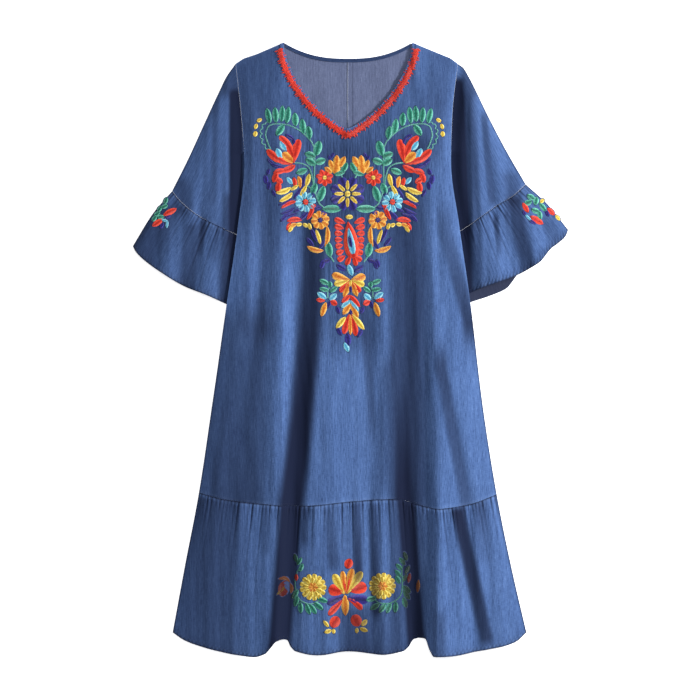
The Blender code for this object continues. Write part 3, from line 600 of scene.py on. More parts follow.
def light_left(x, y, hollows, fade):
    """The share of the light that reaches the cloth, of which each hollow takes its own share."""
    left = np.ones_like(x)
    for hollow in hollows:
        left = left * (1 - bell(hollow, x, y, fade, HOLLOW_POWER))
    return left


def painted_shade_share(left):
    """Painted shade: the mix towards the deepest colour that leaves this share of the brightness
    to the eye.
    """
    return np.clip((1 - left ** EYE_POWER) / DEEPEST_MIX, 0.0, 1.0)


def front_light(x, y):
    """The light left on the front: the body's hollows above the tier seam, and the tier's own below it."""
    below_seam = smooth_step((tier_seam_y(x) - y) / SEAM_FADE)
    lit = YOKE_LIT_SHARE * smooth_step((x - YOKE_LIT_X[0]) / (YOKE_LIT_X[1] - YOKE_LIT_X[0]))
    yoke = 1 - YOKE_SHADE * (1 - lit) * smooth_step((y - YOKE_LOW_Y) / YOKE_FADE)
    body = yoke * light_left(x, y, BODY_HOLLOWS, BODY_HOLLOW_FADE)
    tier = light_left(x, y, TIER_HOLLOWS, TIER_HOLLOW_FADE)
    clear_of_ruffles = smooth_step((RUFFLES_LOW_Y - y) / RUFFLES_FADE)
    edge = 1 - EDGE_SHADE * clear_of_ruffles * near(from_side(x, y), EDGE_REACH)
    return edge * (body + below_seam * (tier - body))


# Painted shade on the front: the light left there, as a mix towards the cloth's darkest colour.
def front_painted_shade(x, y):
    return painted_shade_share(front_light(x, y))


def never_under(rise):
    """The rise, bent so that it flattens out just above 0 and never goes under it."""
    return 0.5 * (rise + np.sqrt(rise * rise + SOFTEST_RISE * SOFTEST_RISE)) - 0.5 * SOFTEST_RISE


def slack(x, y):
    """Soft upright undulations of the loose cloth: sines across that drift and turn along the dress."""
    drift = sum(part.shift * np.sin(y / part.length + part.start) for part in SLACK_DRIFTS)
    rise = np.zeros_like(x)
    for wave in SLACK_WAVES:
        phase = 2 * np.pi * (x + wave.drift * drift) / wave.pitch + wave.start + wave.turn * y
        rise += wave.rise * np.sin(phase)
    return rise


def embroidered(x, y):
    """1 on and round the front's embroidery: the yoke, the column below it, and the sprays at the hem."""
    share = np.zeros_like(x)
    for patch in EMBROIDERED_PATCHES:
        beside = near((x - patch.x) / patch.half_width, patch.reach)
        share += patch.amount * beside * near((y - patch.y) / patch.half_height, patch.reach)
    return np.clip(share, 0.0, 1.0)


def front_height(x, y, more_folds=CREASES):
    """Top of the front layer: two layers at the seams, loft inside them, folds, creases and slack."""
    from_shoulder = np.maximum(shoulder_line(x) - y, 0.0)
    from_neck = np.where(in_neck(x), np.maximum(front_neck(x) - y, 0.0), from_shoulder + OUTSIDE_NECK)
    inside = 1 - np.exp(-from_side(x, y) / SIDE_LOFT_REACH)
    inside = inside * (1 - np.exp(-from_shoulder / SHOULDER_LOFT_REACH))
    at_neck = NECK_LOFT_SHARE + (1 - NECK_LOFT_SHARE) * (1 - np.exp(-from_neck / NECK_LOFT_REACH))
    folds = fold_relief(x, y, BODY_FOLDS) + fold_relief(x, y, more_folds) + slack(x, y)
    return TWO_LAYERS + tuck_lift(x, y) + never_under(inside * (SIDE_LOFT * at_neck + folds))


front_u = mirrored_columns(body_columns(FRONT_SIDE_COLUMNS, FRONT_NECK_COLUMNS))
front_x, front_y = body_plan(front_u, front_top, FRONT_ROWS)
front_points = np.stack([front_x, front_y, front_height(front_x, front_y)], -1)
front_wear = 0.5 * near(front_y - tier_seam_y(front_x), SEAM_WEAR_REACH)
front_wear += 0.4 * near(from_side(front_x, front_y), EDGE_WEAR_REACH)
front_wear += 0.4 * near(front_top(front_x) - front_y, EDGE_WEAR_REACH)
# The front panel's last mark is its painted shade.
front_panel = cloth_sheet(
    "front",
    front_points,
    np.stack([front_x, front_y], -1),
    denim,
    denim_inside,
    front_wear,
    embroidered(front_x, front_y),
    front_painted_shade(front_x, front_y),
)
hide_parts("front_panel")

# Hem tier: a gathered strip of the same denim sewn under the body's lower edge, front and back.
# Its front is folded with the body and wavy at the hem, which is rolled and stitched.
FRONT_HEM = (
    Point(-0.285, -0.4535),
    Point(-0.264, -0.4665),
    Point(-0.225, -0.4795),
    Point(-0.187, -0.488),
    Point(-0.155, -0.4915),
    Point(-0.137, -0.486),
    Point(-0.127, -0.4755),
    Point(-0.118, -0.4655),
    Point(-0.11, -0.4637),
    Point(-0.102, -0.465),
    Point(-0.096, -0.476),
    Point(-0.088, -0.4835),
    Point(-0.055, -0.489),
    Point(-0.004, -0.4822),
    Point(0.05, -0.488),
    Point(0.084, -0.483),
    Point(0.093, -0.476),
    Point(0.101, -0.4645),
    Point(0.11, -0.462),
    Point(0.119, -0.4625),
    Point(0.126, -0.48),
    Point(0.133, -0.4903),
    Point(0.158, -0.49),
    Point(0.206, -0.4823),
    Point(0.245, -0.475),
    Point(0.264, -0.4685),
    Point(0.282, -0.4535),
)
BACK_HEM_Y = -0.457
TIER_FOLDS = (
    Fold(-0.212, -0.240, -0.222, -0.370, 0.0, 0.0025, 0.0015, 0.009, 0.009),
    Fold(-0.176, -0.245, -0.186, -0.420, 0.0, 0.0030, 0.0020, 0.010, 0.008),
    Fold(-0.055, -0.248, -0.062, -0.390, 0.0, 0.0030, 0.0015, 0.009, 0.009),
    Fold(0.006, -0.245, 0.004, -0.430, 0.0, 0.0035, 0.0020, 0.009, 0.011),
    Fold(0.036, -0.242, 0.042, -0.380, 0.0, 0.0030, 0.0015, 0.008, 0.008),
    Fold(0.068, -0.240, 0.076, -0.410, 0.0, 0.0030, 0.0020, 0.008, 0.008),
    Fold(0.163, -0.252, 0.178, -0.400, 0.0, 0.0030, 0.0015, 0.009, 0.009),
    Fold(0.196, -0.247, 0.214, -0.440, 0.0, 0.0035, 0.0020, 0.010, 0.010),
)
TIER_GATHERS = 78
TIER_COLUMNS = 6 * TIER_GATHERS
TIER_ROWS = 78
TIER_ROW_CROWDING = 1.25
TIER_PUCKER_REACH = 0.030
TIER_CLOTH_PLACE = 0.7
BACK_TIER_COLUMNS = 90
BACK_TIER_ROWS = 24
GATHER_RISE = 0.0030
GATHER_SHORTEST = 0.010
GATHER_LONGEST = 0.056
GATHER_START = 0.35
GATHER_START_REACH = 0.006
MEAN_DENT = 0.58
DENT_POWER = 0.7
DENT_SHADE = 0.62
HEM_ROLL = 0.006
HEM_ROLL_RISE = 0.0009
ROPING = 0.0062
ROPING_SLANT = 0.009
ROPING_DRIFT = 1.3
ROPING_DRIFT_LENGTH = 0.05
ROPING_RISE = 0.0005
ROPING_REACH = 0.011
ROPING_SHADE = 0.34
ROPING_SHADE_REACH = 0.008


def gather_dents(phase, distance):
    """The narrow dents between gathers, from 0 to 1, each with its own depth and length from the seam.
    Sines of the gather's number stand in for random draws."""
    number = np.round(phase)
    strength = MEAN_DENT + (1 - MEAN_DENT) * np.sin(2.4 * number + 0.9 * np.sin(0.7 * number))
    reach = 0.5 + 0.5 * np.sin(1.9 * number + 0.7)
    length = GATHER_SHORTEST + reach ** 2 * (GATHER_LONGEST - GATHER_SHORTEST)
    dent = 1 - np.abs(np.sin(np.pi * phase)) ** DENT_POWER
    return strength * dent * np.exp(-distance / length)


def gather_wave(phase, distance, rise=GATHER_RISE):
    """Height of gathers at a distance from their seam: broad crests less the dents between them."""
    opened = GATHER_START + (1 - GATHER_START) * smooth_step(distance / GATHER_START_REACH)
    return rise * opened * (np.exp(-distance / GATHER_LONGEST) - gather_dents(phase, distance))


def dent_light(phase, distance):
    """The light left in the dents between gathers."""
    return 1 - DENT_SHADE * gather_dents(phase, distance)


def roping(along_hem, distance):
    """The slanting ripples of a rolled hem, like a rope's, from -1 to 1."""
    drift = ROPING_DRIFT * np.sin(along_hem / ROPING_DRIFT_LENGTH)
    return np.sin(2 * np.pi * (along_hem / ROPING + distance / ROPING_SLANT) + drift)


def hem_roll(along_hem, distance):
    """A rolled hem: a low ridge a few millimetres inside the edge, with roping on it."""
    ridge = np.exp(-(((distance - 0.5 * HEM_ROLL) / (0.45 * HEM_ROLL)) ** 2))
    return HEM_ROLL_RISE * ridge + ROPING_RISE * roping(along_hem, distance) * near(distance, ROPING_REACH)


def hem_light(along_hem, distance):
    """The light left at a hem: less where its edge turns under, and in the hollows of its roping."""
    edge = 1 - EDGE_SHADE * near(distance, EDGE_REACH)
    hollow = 0.5 - 0.5 * roping(along_hem, distance)
    return edge * (1 - ROPING_SHADE * hollow * near(distance, ROPING_SHADE_REACH))


def seam_light(distance):
    """The light left just below a seam, where the gathered strip comes out from under the edge above it."""
    return 1 - SEAM_SHADE * near(distance, SEAM_SHADE_REACH)


def tier_hem_y(x_at_corner):
    return smooth_curve(x_at_corner, column(FRONT_HEM, "x"), column(FRONT_HEM, "y"))


def tier_phase(u):
    """Which gather lies at a share of the width: they are a little unevenly spaced."""
    return TIER_GATHERS * (u + 0.004 * np.sin(23 * u) + 0.003 * np.sin(61 * u))


def tier_height(x, y):
    """Top of the tier's front: the body's folds and its own, its gathers, and the rolled hem."""
    held_y = np.maximum(y, HEM_CORNER_Y)
    u = share_of_width(x, held_y)
    seam = tier_seam_y(across(u, TIER_SEAM[0].y))
    hem_x = across(u, HEM_CORNER_Y)
    distance = np.maximum(seam - y, 0.0)
    at_side = smooth_step(from_side(x, held_y) / SIDE_LOFT_REACH)
    waves = gather_wave(tier_phase(u), distance) + hem_roll(hem_x, np.maximum(y - tier_hem_y(hem_x), 0.0))
    return front_height(x, held_y, TIER_FOLDS) + waves * at_side


tier_u = np.linspace(0.0, 1.0, TIER_COLUMNS + 1)
tier_v = np.linspace(0.0, 1.0, TIER_ROWS + 1)[::-1, None]
tier_seam = tier_seam_y(across(tier_u, TIER_SEAM[0].y)) - SEAM_GAP
tier_y = tier_seam + tier_v ** TIER_ROW_CROWDING * (tier_hem_y(across(tier_u, HEM_CORNER_Y)) - tier_seam)
tier_x = across(tier_u, np.maximum(tier_y, HEM_CORNER_Y))
tier_from_seam = tier_seam - tier_y
tier_from_hem = tier_y - tier_y[:1]
# Painted shade on the tier's front: the front's hollows, the dents between gathers, the seam above, and the
# hem's turned edge and roping.
tier_light = front_light(tier_x, tier_y) * dent_light(tier_phase(tier_u), tier_from_seam)
tier_light *= seam_light(tier_from_seam) * hem_light(across(tier_u, HEM_CORNER_Y), tier_from_hem)
tier_wear = 0.7 * near(tier_from_seam, SEAM_WEAR_REACH) + 0.6 * near(tier_from_hem, HEM_WEAR_REACH)
front_tier = cloth_sheet(
    "tier_front",
    np.stack([tier_x, tier_y, tier_height(tier_x, tier_y)], -1),
    np.stack([tier_x, tier_y + TIER_CLOTH_PLACE], -1),
    denim,
    denim_inside,
    tier_wear,
    0.8 * near(tier_from_seam, TIER_PUCKER_REACH) + embroidered(tier_x, tier_y),
    painted_shade_share(tier_light),
)
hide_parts("hem_tier_front")

back_tier_u = np.linspace(0.0, 1.0, BACK_TIER_COLUMNS + 1)
back_tier_v = np.linspace(1.0, 0.0, BACK_TIER_ROWS + 1)[:, None]
back_seam = tier_seam_y(across(back_tier_u, TIER_SEAM[0].y)) - SEAM_GAP
back_hem = BACK_HEM_Y + (HEM_CORNER_Y - BACK_HEM_Y) * (2 * back_tier_u - 1) ** 2
back_tier_y = back_seam + back_tier_v * (back_hem - back_seam)
back_tier_x = across(back_tier_u, np.maximum(back_tier_y, HEM_CORNER_Y))
back_tier = cloth_sheet(
    "tier_back",
    np.stack([back_tier_x, back_tier_y, np.full_like(back_tier_x, CLOTH)], -1),
    np.stack([back_tier_x, back_tier_y + TIER_CLOTH_PLACE], -1),
    denim_inside,
    denim,
    0.6 * near(back_tier_y - back_hem, HEM_WEAR_REACH),
)
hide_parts("hem_tier_back")

# Sleeves: elbow-length tubes of the same denim, lying flat beside the body with an edge tucked under it.
# Each is sewn into its armhole above the underarm, and ends at the seam with its ruffle.
LEFT_SLEEVE_EDGE = (
    Point(-0.1843, 0.458),
    Point(-0.199, 0.437),
    Point(-0.211, 0.4125),
    Point(-0.235, 0.3605),
    Point(-0.259, 0.308),
    Point(-0.286, 0.254),
)
LEFT_UNDERARM_FOLD = Point(-0.157, 0.293)
LEFT_CUFF = (
    Point(-0.286, 0.254),
    Point(-0.27, 0.2355),
    Point(-0.24, 0.2125),
    Point(-0.2035, 0.194),
    Point(-0.166, 0.177),
)
RIGHT_SLEEVE_EDGE = (
    Point(0.1723, 0.458),
    Point(0.181, 0.4515),
    Point(0.1895, 0.4375),
    Point(0.223, 0.3695),
    Point(0.251, 0.3165),
    Point(0.281, 0.265),
)
RIGHT_UNDERARM_FOLD = Point(0.148, 0.293)
RIGHT_CUFF = (
    Point(0.281, 0.265),
    Point(0.261, 0.247),
    Point(0.235, 0.231),
    Point(0.18, 0.1925),
    Point(0.166, 0.184),
)
LEFT_SLEEVE_FOLDS = (
    Fold(-0.206, 0.400, -0.216, 0.205, 0.0, 0.003, 0.004, 0.014, 0.010),
    Fold(-0.226, 0.360, -0.254, 0.225, 0.0, 0.002, 0.003, 0.010, 0.012),
    Fold(-0.196, 0.420, -0.200, 0.200, 0.0, 0.0010, 0.0016, 0.005, 0.004),
    Fold(-0.236, 0.330, -0.240, 0.225, 0.0, -0.0010, -0.0016, 0.006, 0.006),
)
RIGHT_SLEEVE_FOLDS = (
    Fold(0.198, 0.390, 0.212, 0.210, 0.0, 0.003, 0.004, 0.010, 0.014),
    Fold(0.222, 0.360, 0.246, 0.235, 0.0, 0.002, 0.003, 0.012, 0.010),
    Fold(0.192, 0.370, 0.196, 0.215, 0.0, 0.0012, 0.0020, 0.004, 0.006),
    Fold(0.228, 0.330, 0.231, 0.240, 0.0, -0.0010, -0.0016, 0.006, 0.006),
)
LEFT_HOLLOWS = (
    Fold(-0.184, 0.405, -0.184, 0.080, 0.0, 0.92, 0.80, 0.010, 0.012),
    Fold(-0.190, 0.460, -0.189, 0.415, 0.0, 0.28, 0.30, 0.018, 0.012),
    Fold(-0.190, 0.240, -0.198, 0.080, 0.0, 0.30, 0.50, 0.014, 0.014),
    Fold(-0.216, 0.400, -0.222, 0.240, 0.0, 0.12, 0.10, 0.004, 0.006),
    Fold(-0.272, 0.265, -0.268, 0.225, 0.0, 0.20, 0.20, 0.014, 0.014),
    Fold(-0.302, 0.222, -0.350, 0.120, 0.0, 0.32, 0.32, 0.050, 0.032),
    Fold(-0.250, 0.192, -0.264, 0.090, 0.0, 0.24, 0.30, 0.016, 0.015),
    Fold(-0.234, 0.202, -0.241, 0.160, 0.0, 0.35, 0.20, 0.005, 0.005),
    Fold(-0.212, 0.190, -0.218, 0.150, 0.0, 0.20, 0.12, 0.004, 0.004),
)
RIGHT_HOLLOWS = (
    Fold(0.168, 0.425, 0.184, 0.080, 0.0, 0.88, 0.72, 0.020, 0.013),
    Fold(0.190, 0.460, 0.192, 0.415, 0.0, 0.34, 0.34, 0.012, 0.013),
    Fold(0.184, 0.400, 0.197, 0.090, 0.0, 0.34, 0.20, 0.020, 0.016),
    Fold(0.214, 0.370, 0.226, 0.240, 0.0, 0.26, 0.26, 0.006, 0.006),
    Fold(0.256, 0.275, 0.262, 0.240, 0.0, 0.20, 0.20, 0.014, 0.014),
    Fold(0.262, 0.236, 0.284, 0.130, 0.0, 0.42, 0.34, 0.014, 0.012),
    Fold(0.232, 0.205, 0.237, 0.160, 0.0, 0.34, 0.18, 0.004, 0.005),
    Fold(0.249, 0.215, 0.254, 0.180, 0.0, 0.24, 0.10, 0.004, 0.004),
    Fold(0.314, 0.205, 0.330, 0.165, 0.0, 0.12, 0.12, 0.010, 0.016),
)
SLEEVE_WIDTH = 0.15
SLEEVE_LOFT = 0.005
SLEEVE_LOFT_REACH = 0.012
SLEEVE_CLEAR = 0.002
SLEEVE_CLEAR_REACH = 0.020
SLEEVE_ROWS = 64
SLEEVE_COLUMNS = 60
SLEEVE_HOLLOW_FADE = 0.010
SLEEVE_SLACK_PLACE = 0.3
CUFF_WEAR_SHARE = 0.016
ARMHOLE_WEAR_SHARE = 0.0133
BACK_CLOTH_PLACE = 0.4
FOLD_ROLL = 0.003
ROLL_SHARES = np.array([0.0, 0.15, 0.5, 1.0])
ROLL_CLEAR = 1.2
MOST_SLANT = 0.55
ARMHOLE_TURN = 0.0095
ARMHOLE_LIFT_REACH = 0.012
INSIDE_PAINTED_SHADE = 0.84
Side = namedtuple("Side", "name sign edge_x edge underarm_fold cuff folds hollows shade")
LEFT = Side(
    name="left",
    sign=-1,
    edge_x=left_edge,
    edge=LEFT_SLEEVE_EDGE,
    underarm_fold=LEFT_UNDERARM_FOLD,
    cuff=LEFT_CUFF,
    folds=LEFT_SLEEVE_FOLDS,
    hollows=LEFT_HOLLOWS,
    shade=0.14,
)
RIGHT = Side(
    name="right",
    sign=1,
    edge_x=right_edge,
    edge=RIGHT_SLEEVE_EDGE,
    underarm_fold=RIGHT_UNDERARM_FOLD,
    cuff=RIGHT_CUFF,
    folds=RIGHT_SLEEVE_FOLDS,
    hollows=RIGHT_HOLLOWS,
    shade=0.06,
)


def length_along(path):
    """How far each point of a path is from its start, along the path."""
    return np.concatenate([[0.0], np.cumsum(np.linalg.norm(np.diff(path, axis=0), axis=1))])


def at_lengths(path, length, at):
    """The points at these lengths along a path of straight steps."""
    return np.stack([np.interp(at, length, path[:, k]) for k in (0, 1)], axis=-1)


def along(points, share):
    """The points at these shares of the length of a smooth curve through the given points."""
    points = np.array(points, float)
    length = length_along(points)
    at = np.asarray(share) * length[-1]
    return np.stack([smooth_curve(at, length, points[:, k]) for k in (0, 1)], axis=-1)


def straight(first, last, t):
    """The points at these shares of the way from the first to the last."""
    return (1 - t)[:, None] * np.asarray(first) + t[:, None] * np.asarray(last)


def patch_points(s, t, start, end, outer, inner):
    """A surface between four edge curves: the two ruled surfaces added, less the one through the corners."""
    s, t = s[None, :, None], t[:, None, None]
    between_ends = (1 - t) * start[None] + t * end[None]
    between_sides = (1 - s) * outer[:, None] + s * inner[:, None]
    corners = (1 - t) * ((1 - s) * start[0] + s * start[-1]) + t * ((1 - s) * end[0] + s * end[-1])
    return between_ends + between_sides - corners


def raised(plan, height):
    """The points of a plan, each at its height."""
    return np.concatenate([plan, height[..., None]], axis=-1)


def between_folds(plan):
    """The distance from one fold of a tube to the other, at each of its rows."""
    return np.linalg.norm(plan[:, -1] - plan[:, 0], axis=-1)[:, None]


def with_rolls(count, width):
    """Even shares with more of them just inside each end, where the cloth rolls over its fold."""
    roll = FOLD_ROLL / width
    even = np.linspace(0.0, 1.0, count + 1)
    inside = even[(even > ROLL_CLEAR * roll) & (even < 1 - ROLL_CLEAR * roll)]
    rolled = roll * ROLL_SHARES
    return np.concatenate([rolled, inside, 1 - rolled[::-1]])


def armhole(side, share):
    """Down the body's armhole edge, then under the body to the sleeve's lower fold."""
    y = np.linspace(SHOULDER_Y, UNDERARM_Y + ARMHOLE_TURN, 60)
    x = side.edge_x(y) + side.sign * SEAM_GAP
    points = np.append(np.stack([x, y], axis=-1), [side.underarm_fold], axis=0)
    length = length_along(points)
    return at_lengths(points, length, share * length[-1])


def sleeve_height(side, plan, share, waves):
    """Top of a sleeve's front layer: flat under the body, with loft, folds and waves beside it."""
    x, y = plan[..., 0], plan[..., 1]
    outside = side.sign * (x - side.edge_x(y))
    roll = 1 - np.exp(-share * between_folds(plan) / SLEEVE_LOFT_REACH)
    clear = smooth_step((outside - SLEEVE_CLEAR) / SLEEVE_CLEAR_REACH)
    ripple = slack(x + SLEEVE_SLACK_PLACE, y)
    rise = never_under(clear * roll * (SLEEVE_LOFT + fold_relief(x, y, side.folds) + waves + ripple))
    lift = tuck_lift(side.edge_x(y), y) * smooth_step((y - UNDERARM_Y - ARMHOLE_TURN) / ARMHOLE_TURN)
    return TWO_LAYERS + rise + lift * np.exp(-np.maximum(outside, 0.0) / ARMHOLE_LIFT_REACH)


def sleeve_light(side, plan):
    """The light left on a sleeve and its ruffle, painted as shade: the side's own shade and its hollows."""
    return (1 - side.shade) * light_left(plan[..., 0], plan[..., 1], side.hollows, SLEEVE_HOLLOW_FADE)


def fold_light(plan, share):
    """The light left beside a tube's first fold, where the cloth turns under."""
    return 1 - EDGE_SHADE * near(share * between_folds(plan), EDGE_REACH)


def flat_tube(name, side, front, back, front_uv, back_uv, front_marks):
    """A tube of cloth lying flat. The front grid's first and last columns are its folds, and the back
    closes it."""
    front = front.copy()
    normals = unit_normals(front) * side.sign
    normals[[0, -1], :] = UP
    inner_front = front - CLOTH * normals
    for fold, beside in ((0, 1), (-1, -2)):
        edge = unit(np.gradient(front[:, fold, :2], axis=0))
        row = unit(front[:, beside, :2] - front[:, fold, :2])
        slant = np.abs(edge[:, 0] * row[:, 1] - edge[:, 1] * row[:, 0])
        front[:, fold, 2] = 0.5 * TWO_LAYERS
        inner_front[:, fold] = front[:, fold]
        inner_front[:, fold, :2] += CLOTH / np.maximum(slant, MOST_SLANT)[:, None] * row
    inner_front[:, 1:3, 2] = np.clip(inner_front[:, 1:3, 2], 0.5 * TWO_LAYERS, None)
    inner_front[:, -3:-1, 2] = np.clip(inner_front[:, -3:-1, 2], 0.5 * TWO_LAYERS, None)
    outer = np.concatenate([front, back[:, ::-1]], axis=1)
    inner = np.concatenate([inner_front, back[:, ::-1] + CLOTH * UP], axis=1)
    uv = np.concatenate([front_uv, back_uv[:, ::-1]], axis=1)
    rings, around = outer.shape[:2]
    inside = rings * around
    here = np.arange(inside).reshape(rings, around)
    after = np.roll(here, -side.sign, axis=1)
    walls = np.stack([here[:-1], after[:-1], after[1:], here[1:]], axis=-1).reshape(-1, 4)
    first = np.stack([here[0], here[0] + inside, after[0] + inside, after[0]], axis=1)
    last = np.stack([here[-1], after[-1], after[-1] + inside, here[-1] + inside], axis=1)
    faces = np.concatenate([walls, first, last, walls[:, ::-1] + inside])
    layer = np.repeat([0, 1], [len(walls) + 2 * around, len(walls)])
    points = np.concatenate([outer, inner]).reshape(-1, 3)
    marks = []
    for mark, values in front_marks:
        # The back layer's inner face gets an even painted shade.
        back_inside = INSIDE_PAINTED_SHADE if mark == "hollow" else 0.0
        outside = np.concatenate([values, np.zeros(back.shape[:2])], axis=1)
        within = np.concatenate([values, np.full(back.shape[:2], back_inside)], axis=1)
        marks.append((mark, np.concatenate([outside, within])))
    flat_uv = np.concatenate([uv, uv]).reshape(-1, 2)
    tube = add_piece(name, points, faces.tolist(), flat_uv, "cloth", [denim, denim_inside], layer, marks)
    return tube


def tube_uv(plan, share, t):
    """Grain along the tube: the share across it times its mean width, and the share along it times its
    mean length."""
    width = between_folds(plan).mean()
    length = np.linalg.norm(plan[-1] - plan[0], axis=-1).mean()
    return np.stack(np.broadcast_arrays(share[None, :] * width, -t[:, None] * length), -1)


sleeve_grids = []
for side in (LEFT, RIGHT):
    t = np.linspace(0.0, 1.0, SLEEVE_ROWS + 1)
    s = with_rolls(SLEEVE_COLUMNS, SLEEVE_WIDTH)
    inner = straight(side.underarm_fold, side.cuff[-1], t)
    plan = patch_points(s, t, armhole(side, s), along(side.cuff, s), along(side.edge, t), inner)
    front = raised(plan, sleeve_height(side, plan, s, 0.0))
    back = raised(plan, np.zeros(plan.shape[:2]))[:, 1:-1]
    uv = tube_uv(plan, s, t)
    down = np.broadcast_to(t[:, None], plan.shape[:2])
    at_cuff = near(1 - down, CUFF_WEAR_SHARE)
    at_armhole = near(down, ARMHOLE_WEAR_SHARE)
    # The sleeve's last mark is painted shade: its side's shade, its hollows and the turn at its fold.
    sleeve = flat_tube(
        f"{side.name}_sleeve",
        side,
        front,
        back,
        uv,
        uv[:, 1:-1] + BACK_CLOTH_PLACE,
        [
            ("wear", 0.5 * at_cuff + 0.4 * at_armhole),
            ("pucker", 0.25 * at_cuff),
            ("hollow", painted_shade_share(sleeve_light(side, plan) * fold_light(plan, s))),
        ],
    )
    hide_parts(f"sleeve_{side.name}")
    sleeve_grids.append(front)

# Sleeve ruffles: a flared strip of denim gathered to each sleeve's lower edge, and open at its rolled hem.
# The right one's back layer shows below its front, with the paler inside of the cloth under painted shade.
LEFT_RUFFLE_EDGE = Point(-0.3165, 0.2185)
LEFT_HEM = (
    Point(-0.349, 0.166),
    Point(-0.344, 0.157),
    Point(-0.331, 0.1435),
    Point(-0.299, 0.1205),
    Point(-0.267, 0.1015),
    Point(-0.227, 0.0855),
    Point(-0.203, 0.0745),
    Point(-0.184, 0.066),
)
LEFT_BACK_HEM = (
    Point(-0.349, 0.166),
    Point(-0.327, 0.150),
    Point(-0.290, 0.128),
    Point(-0.250, 0.106),
    Point(-0.184, 0.074),
)
RIGHT_RUFFLE_EDGE = Point(0.3160, 0.2330)
RIGHT_HEM = (
    Point(0.349, 0.192),
    Point(0.3445, 0.1815),
    Point(0.331, 0.169),
    Point(0.3195, 0.1605),
    Point(0.3115, 0.15),
    Point(0.303, 0.14),
    Point(0.295, 0.1345),
    Point(0.267, 0.119),
    Point(0.2075, 0.0975),
    Point(0.178, 0.084),
)
RIGHT_BACK_HEM = (
    Point(0.349, 0.192),
    Point(0.332, 0.173),
    Point(0.3, 0.1405),
    Point(0.27, 0.1225),
    Point(0.259, 0.108),
    Point(0.251, 0.0985),
    Point(0.227, 0.0872),
    Point(0.195, 0.0765),
    Point(0.178, 0.071),
)
RUFFLE_GATHERS = 26
RUFFLE_ROWS = 44
RUFFLE_COLUMNS = 6 * RUFFLE_GATHERS
RUFFLE_FLARE_RISE = 0.0060
RUFFLE_GATHER_RISE = 0.0022
RUFFLE_ROW_CROWDING = 1.15
RUFFLE_HEM_LENGTH = 0.21
RUFFLE_PUCKER_REACH = 0.018
RUFFLE_CLOTH_PLACE = 0.9
RuffleShape = namedtuple("RuffleShape", "side edge hem back_hem first_flare flare_pitch")
ruffles = []
ruffle_grids = []
for shape in (
    RuffleShape(LEFT, LEFT_RUFFLE_EDGE, LEFT_HEM, LEFT_BACK_HEM, 0.37, 0.35),
    RuffleShape(RIGHT, RIGHT_RUFFLE_EDGE, RIGHT_HEM, RIGHT_BACK_HEM, 0.30, 0.38),
):
    side = shape.side
    start, end = np.array(side.cuff[0]), np.array(side.cuff[-1])
    seam_way = unit(end - start)
    off_seam = SEAM_GAP * np.array([side.sign * abs(seam_way[1]), -abs(seam_way[0])])
    t = np.linspace(0.0, 1.0, RUFFLE_ROWS + 1) ** RUFFLE_ROW_CROWDING
    s = with_rolls(RUFFLE_COLUMNS, np.linalg.norm(end - start))
    seam = along(side.cuff, s) + off_seam
    outer = along((start + off_seam, shape.edge, shape.hem[0]), t)
    inner = straight(end + off_seam, shape.hem[-1], t)
    plan = patch_points(s, t, seam, along(shape.hem, s), outer, inner)
    distance = np.linalg.norm(plan - plan[:1], axis=-1)
    from_hem = np.linalg.norm(plan - plan[-1:], axis=-1)
    flare = 0.5 + 0.5 * np.cos(2 * np.pi * (s - shape.first_flare) / shape.flare_pitch)
    phase = RUFFLE_GATHERS * (s + 0.010 * np.sin(19 * s))
    waves = gather_wave(phase, distance, RUFFLE_GATHER_RISE)
    waves += RUFFLE_FLARE_RISE * flare * t[:, None] + hem_roll(s * RUFFLE_HEM_LENGTH, from_hem)
    front = raised(plan, sleeve_height(side, plan, s, waves))
    back_inner = straight(end + off_seam, shape.back_hem[-1], t)
    back_plan = patch_points(s, t, seam, along(shape.back_hem, s), outer, back_inner)
    back = raised(back_plan, np.zeros(plan.shape[:2]))[:, 1:-1]
    # Painted shade on the ruffle: its side's shade and hollows, the dents between gathers, the seam above,
    # the hem's turned edge and roping, and its first fold.
    light = sleeve_light(side, plan) * dent_light(phase, distance) * seam_light(distance)
    light *= hem_light(s * RUFFLE_HEM_LENGTH, from_hem) * fold_light(plan, s)
    uv = tube_uv(plan, s, t) + RUFFLE_CLOTH_PLACE
    ruffle = flat_tube(
        f"{side.name}_ruffle",
        side,
        front,
        back,
        uv,
        uv[:, 1:-1] + BACK_CLOTH_PLACE,
        [
            ("wear", 0.6 * near(distance, SEAM_WEAR_REACH) + 0.5 * near(from_hem, HEM_WEAR_REACH)),
            ("pucker", 0.9 * near(distance, RUFFLE_PUCKER_REACH)),
            ("hollow", painted_shade_share(light)),
        ],
    )
    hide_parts(f"sleeve_ruffle_{side.name}")
    ruffles.append(ruffle)
    ruffle_grids.append(front)

# Neck edge: narrow bands of the same denim, turned over the V and along the back neck and puckered.
# Below the back band, the raw edges of the centre back seam are pressed to one side.
FRONT_NECK_LENGTH = 0.37
BAND_WIDTH = 0.006
BAND_CLOTH = 0.001
BACK_BAND_INSET = 0.003
BACK_BAND_SHARE = 0.75
BACK_BAND_PAINTED_SHADE = 0.55
BAND_COLUMNS = 420
BAND_ROWS = 6
BACK_BAND_COLUMNS = 160
BAND_PUCKER = 0.0035
BAND_PUCKER_RISE = 0.00025
BAND_PUCKER_DRIFT = 0.011
BAND_WEAR_PLACE = 0.001
BAND_WEAR_REACH = 0.0015
BACK_BAND_WEAR_REACH = 0.001
ALLOWANCE_WIDTH = 0.008
ALLOWANCE_LOW_Y = 0.325
ALLOWANCE_WEAR_REACH = 0.0012
ALLOWANCE_SHADE_REACH = 0.0009
NECK_SAMPLES = 1201


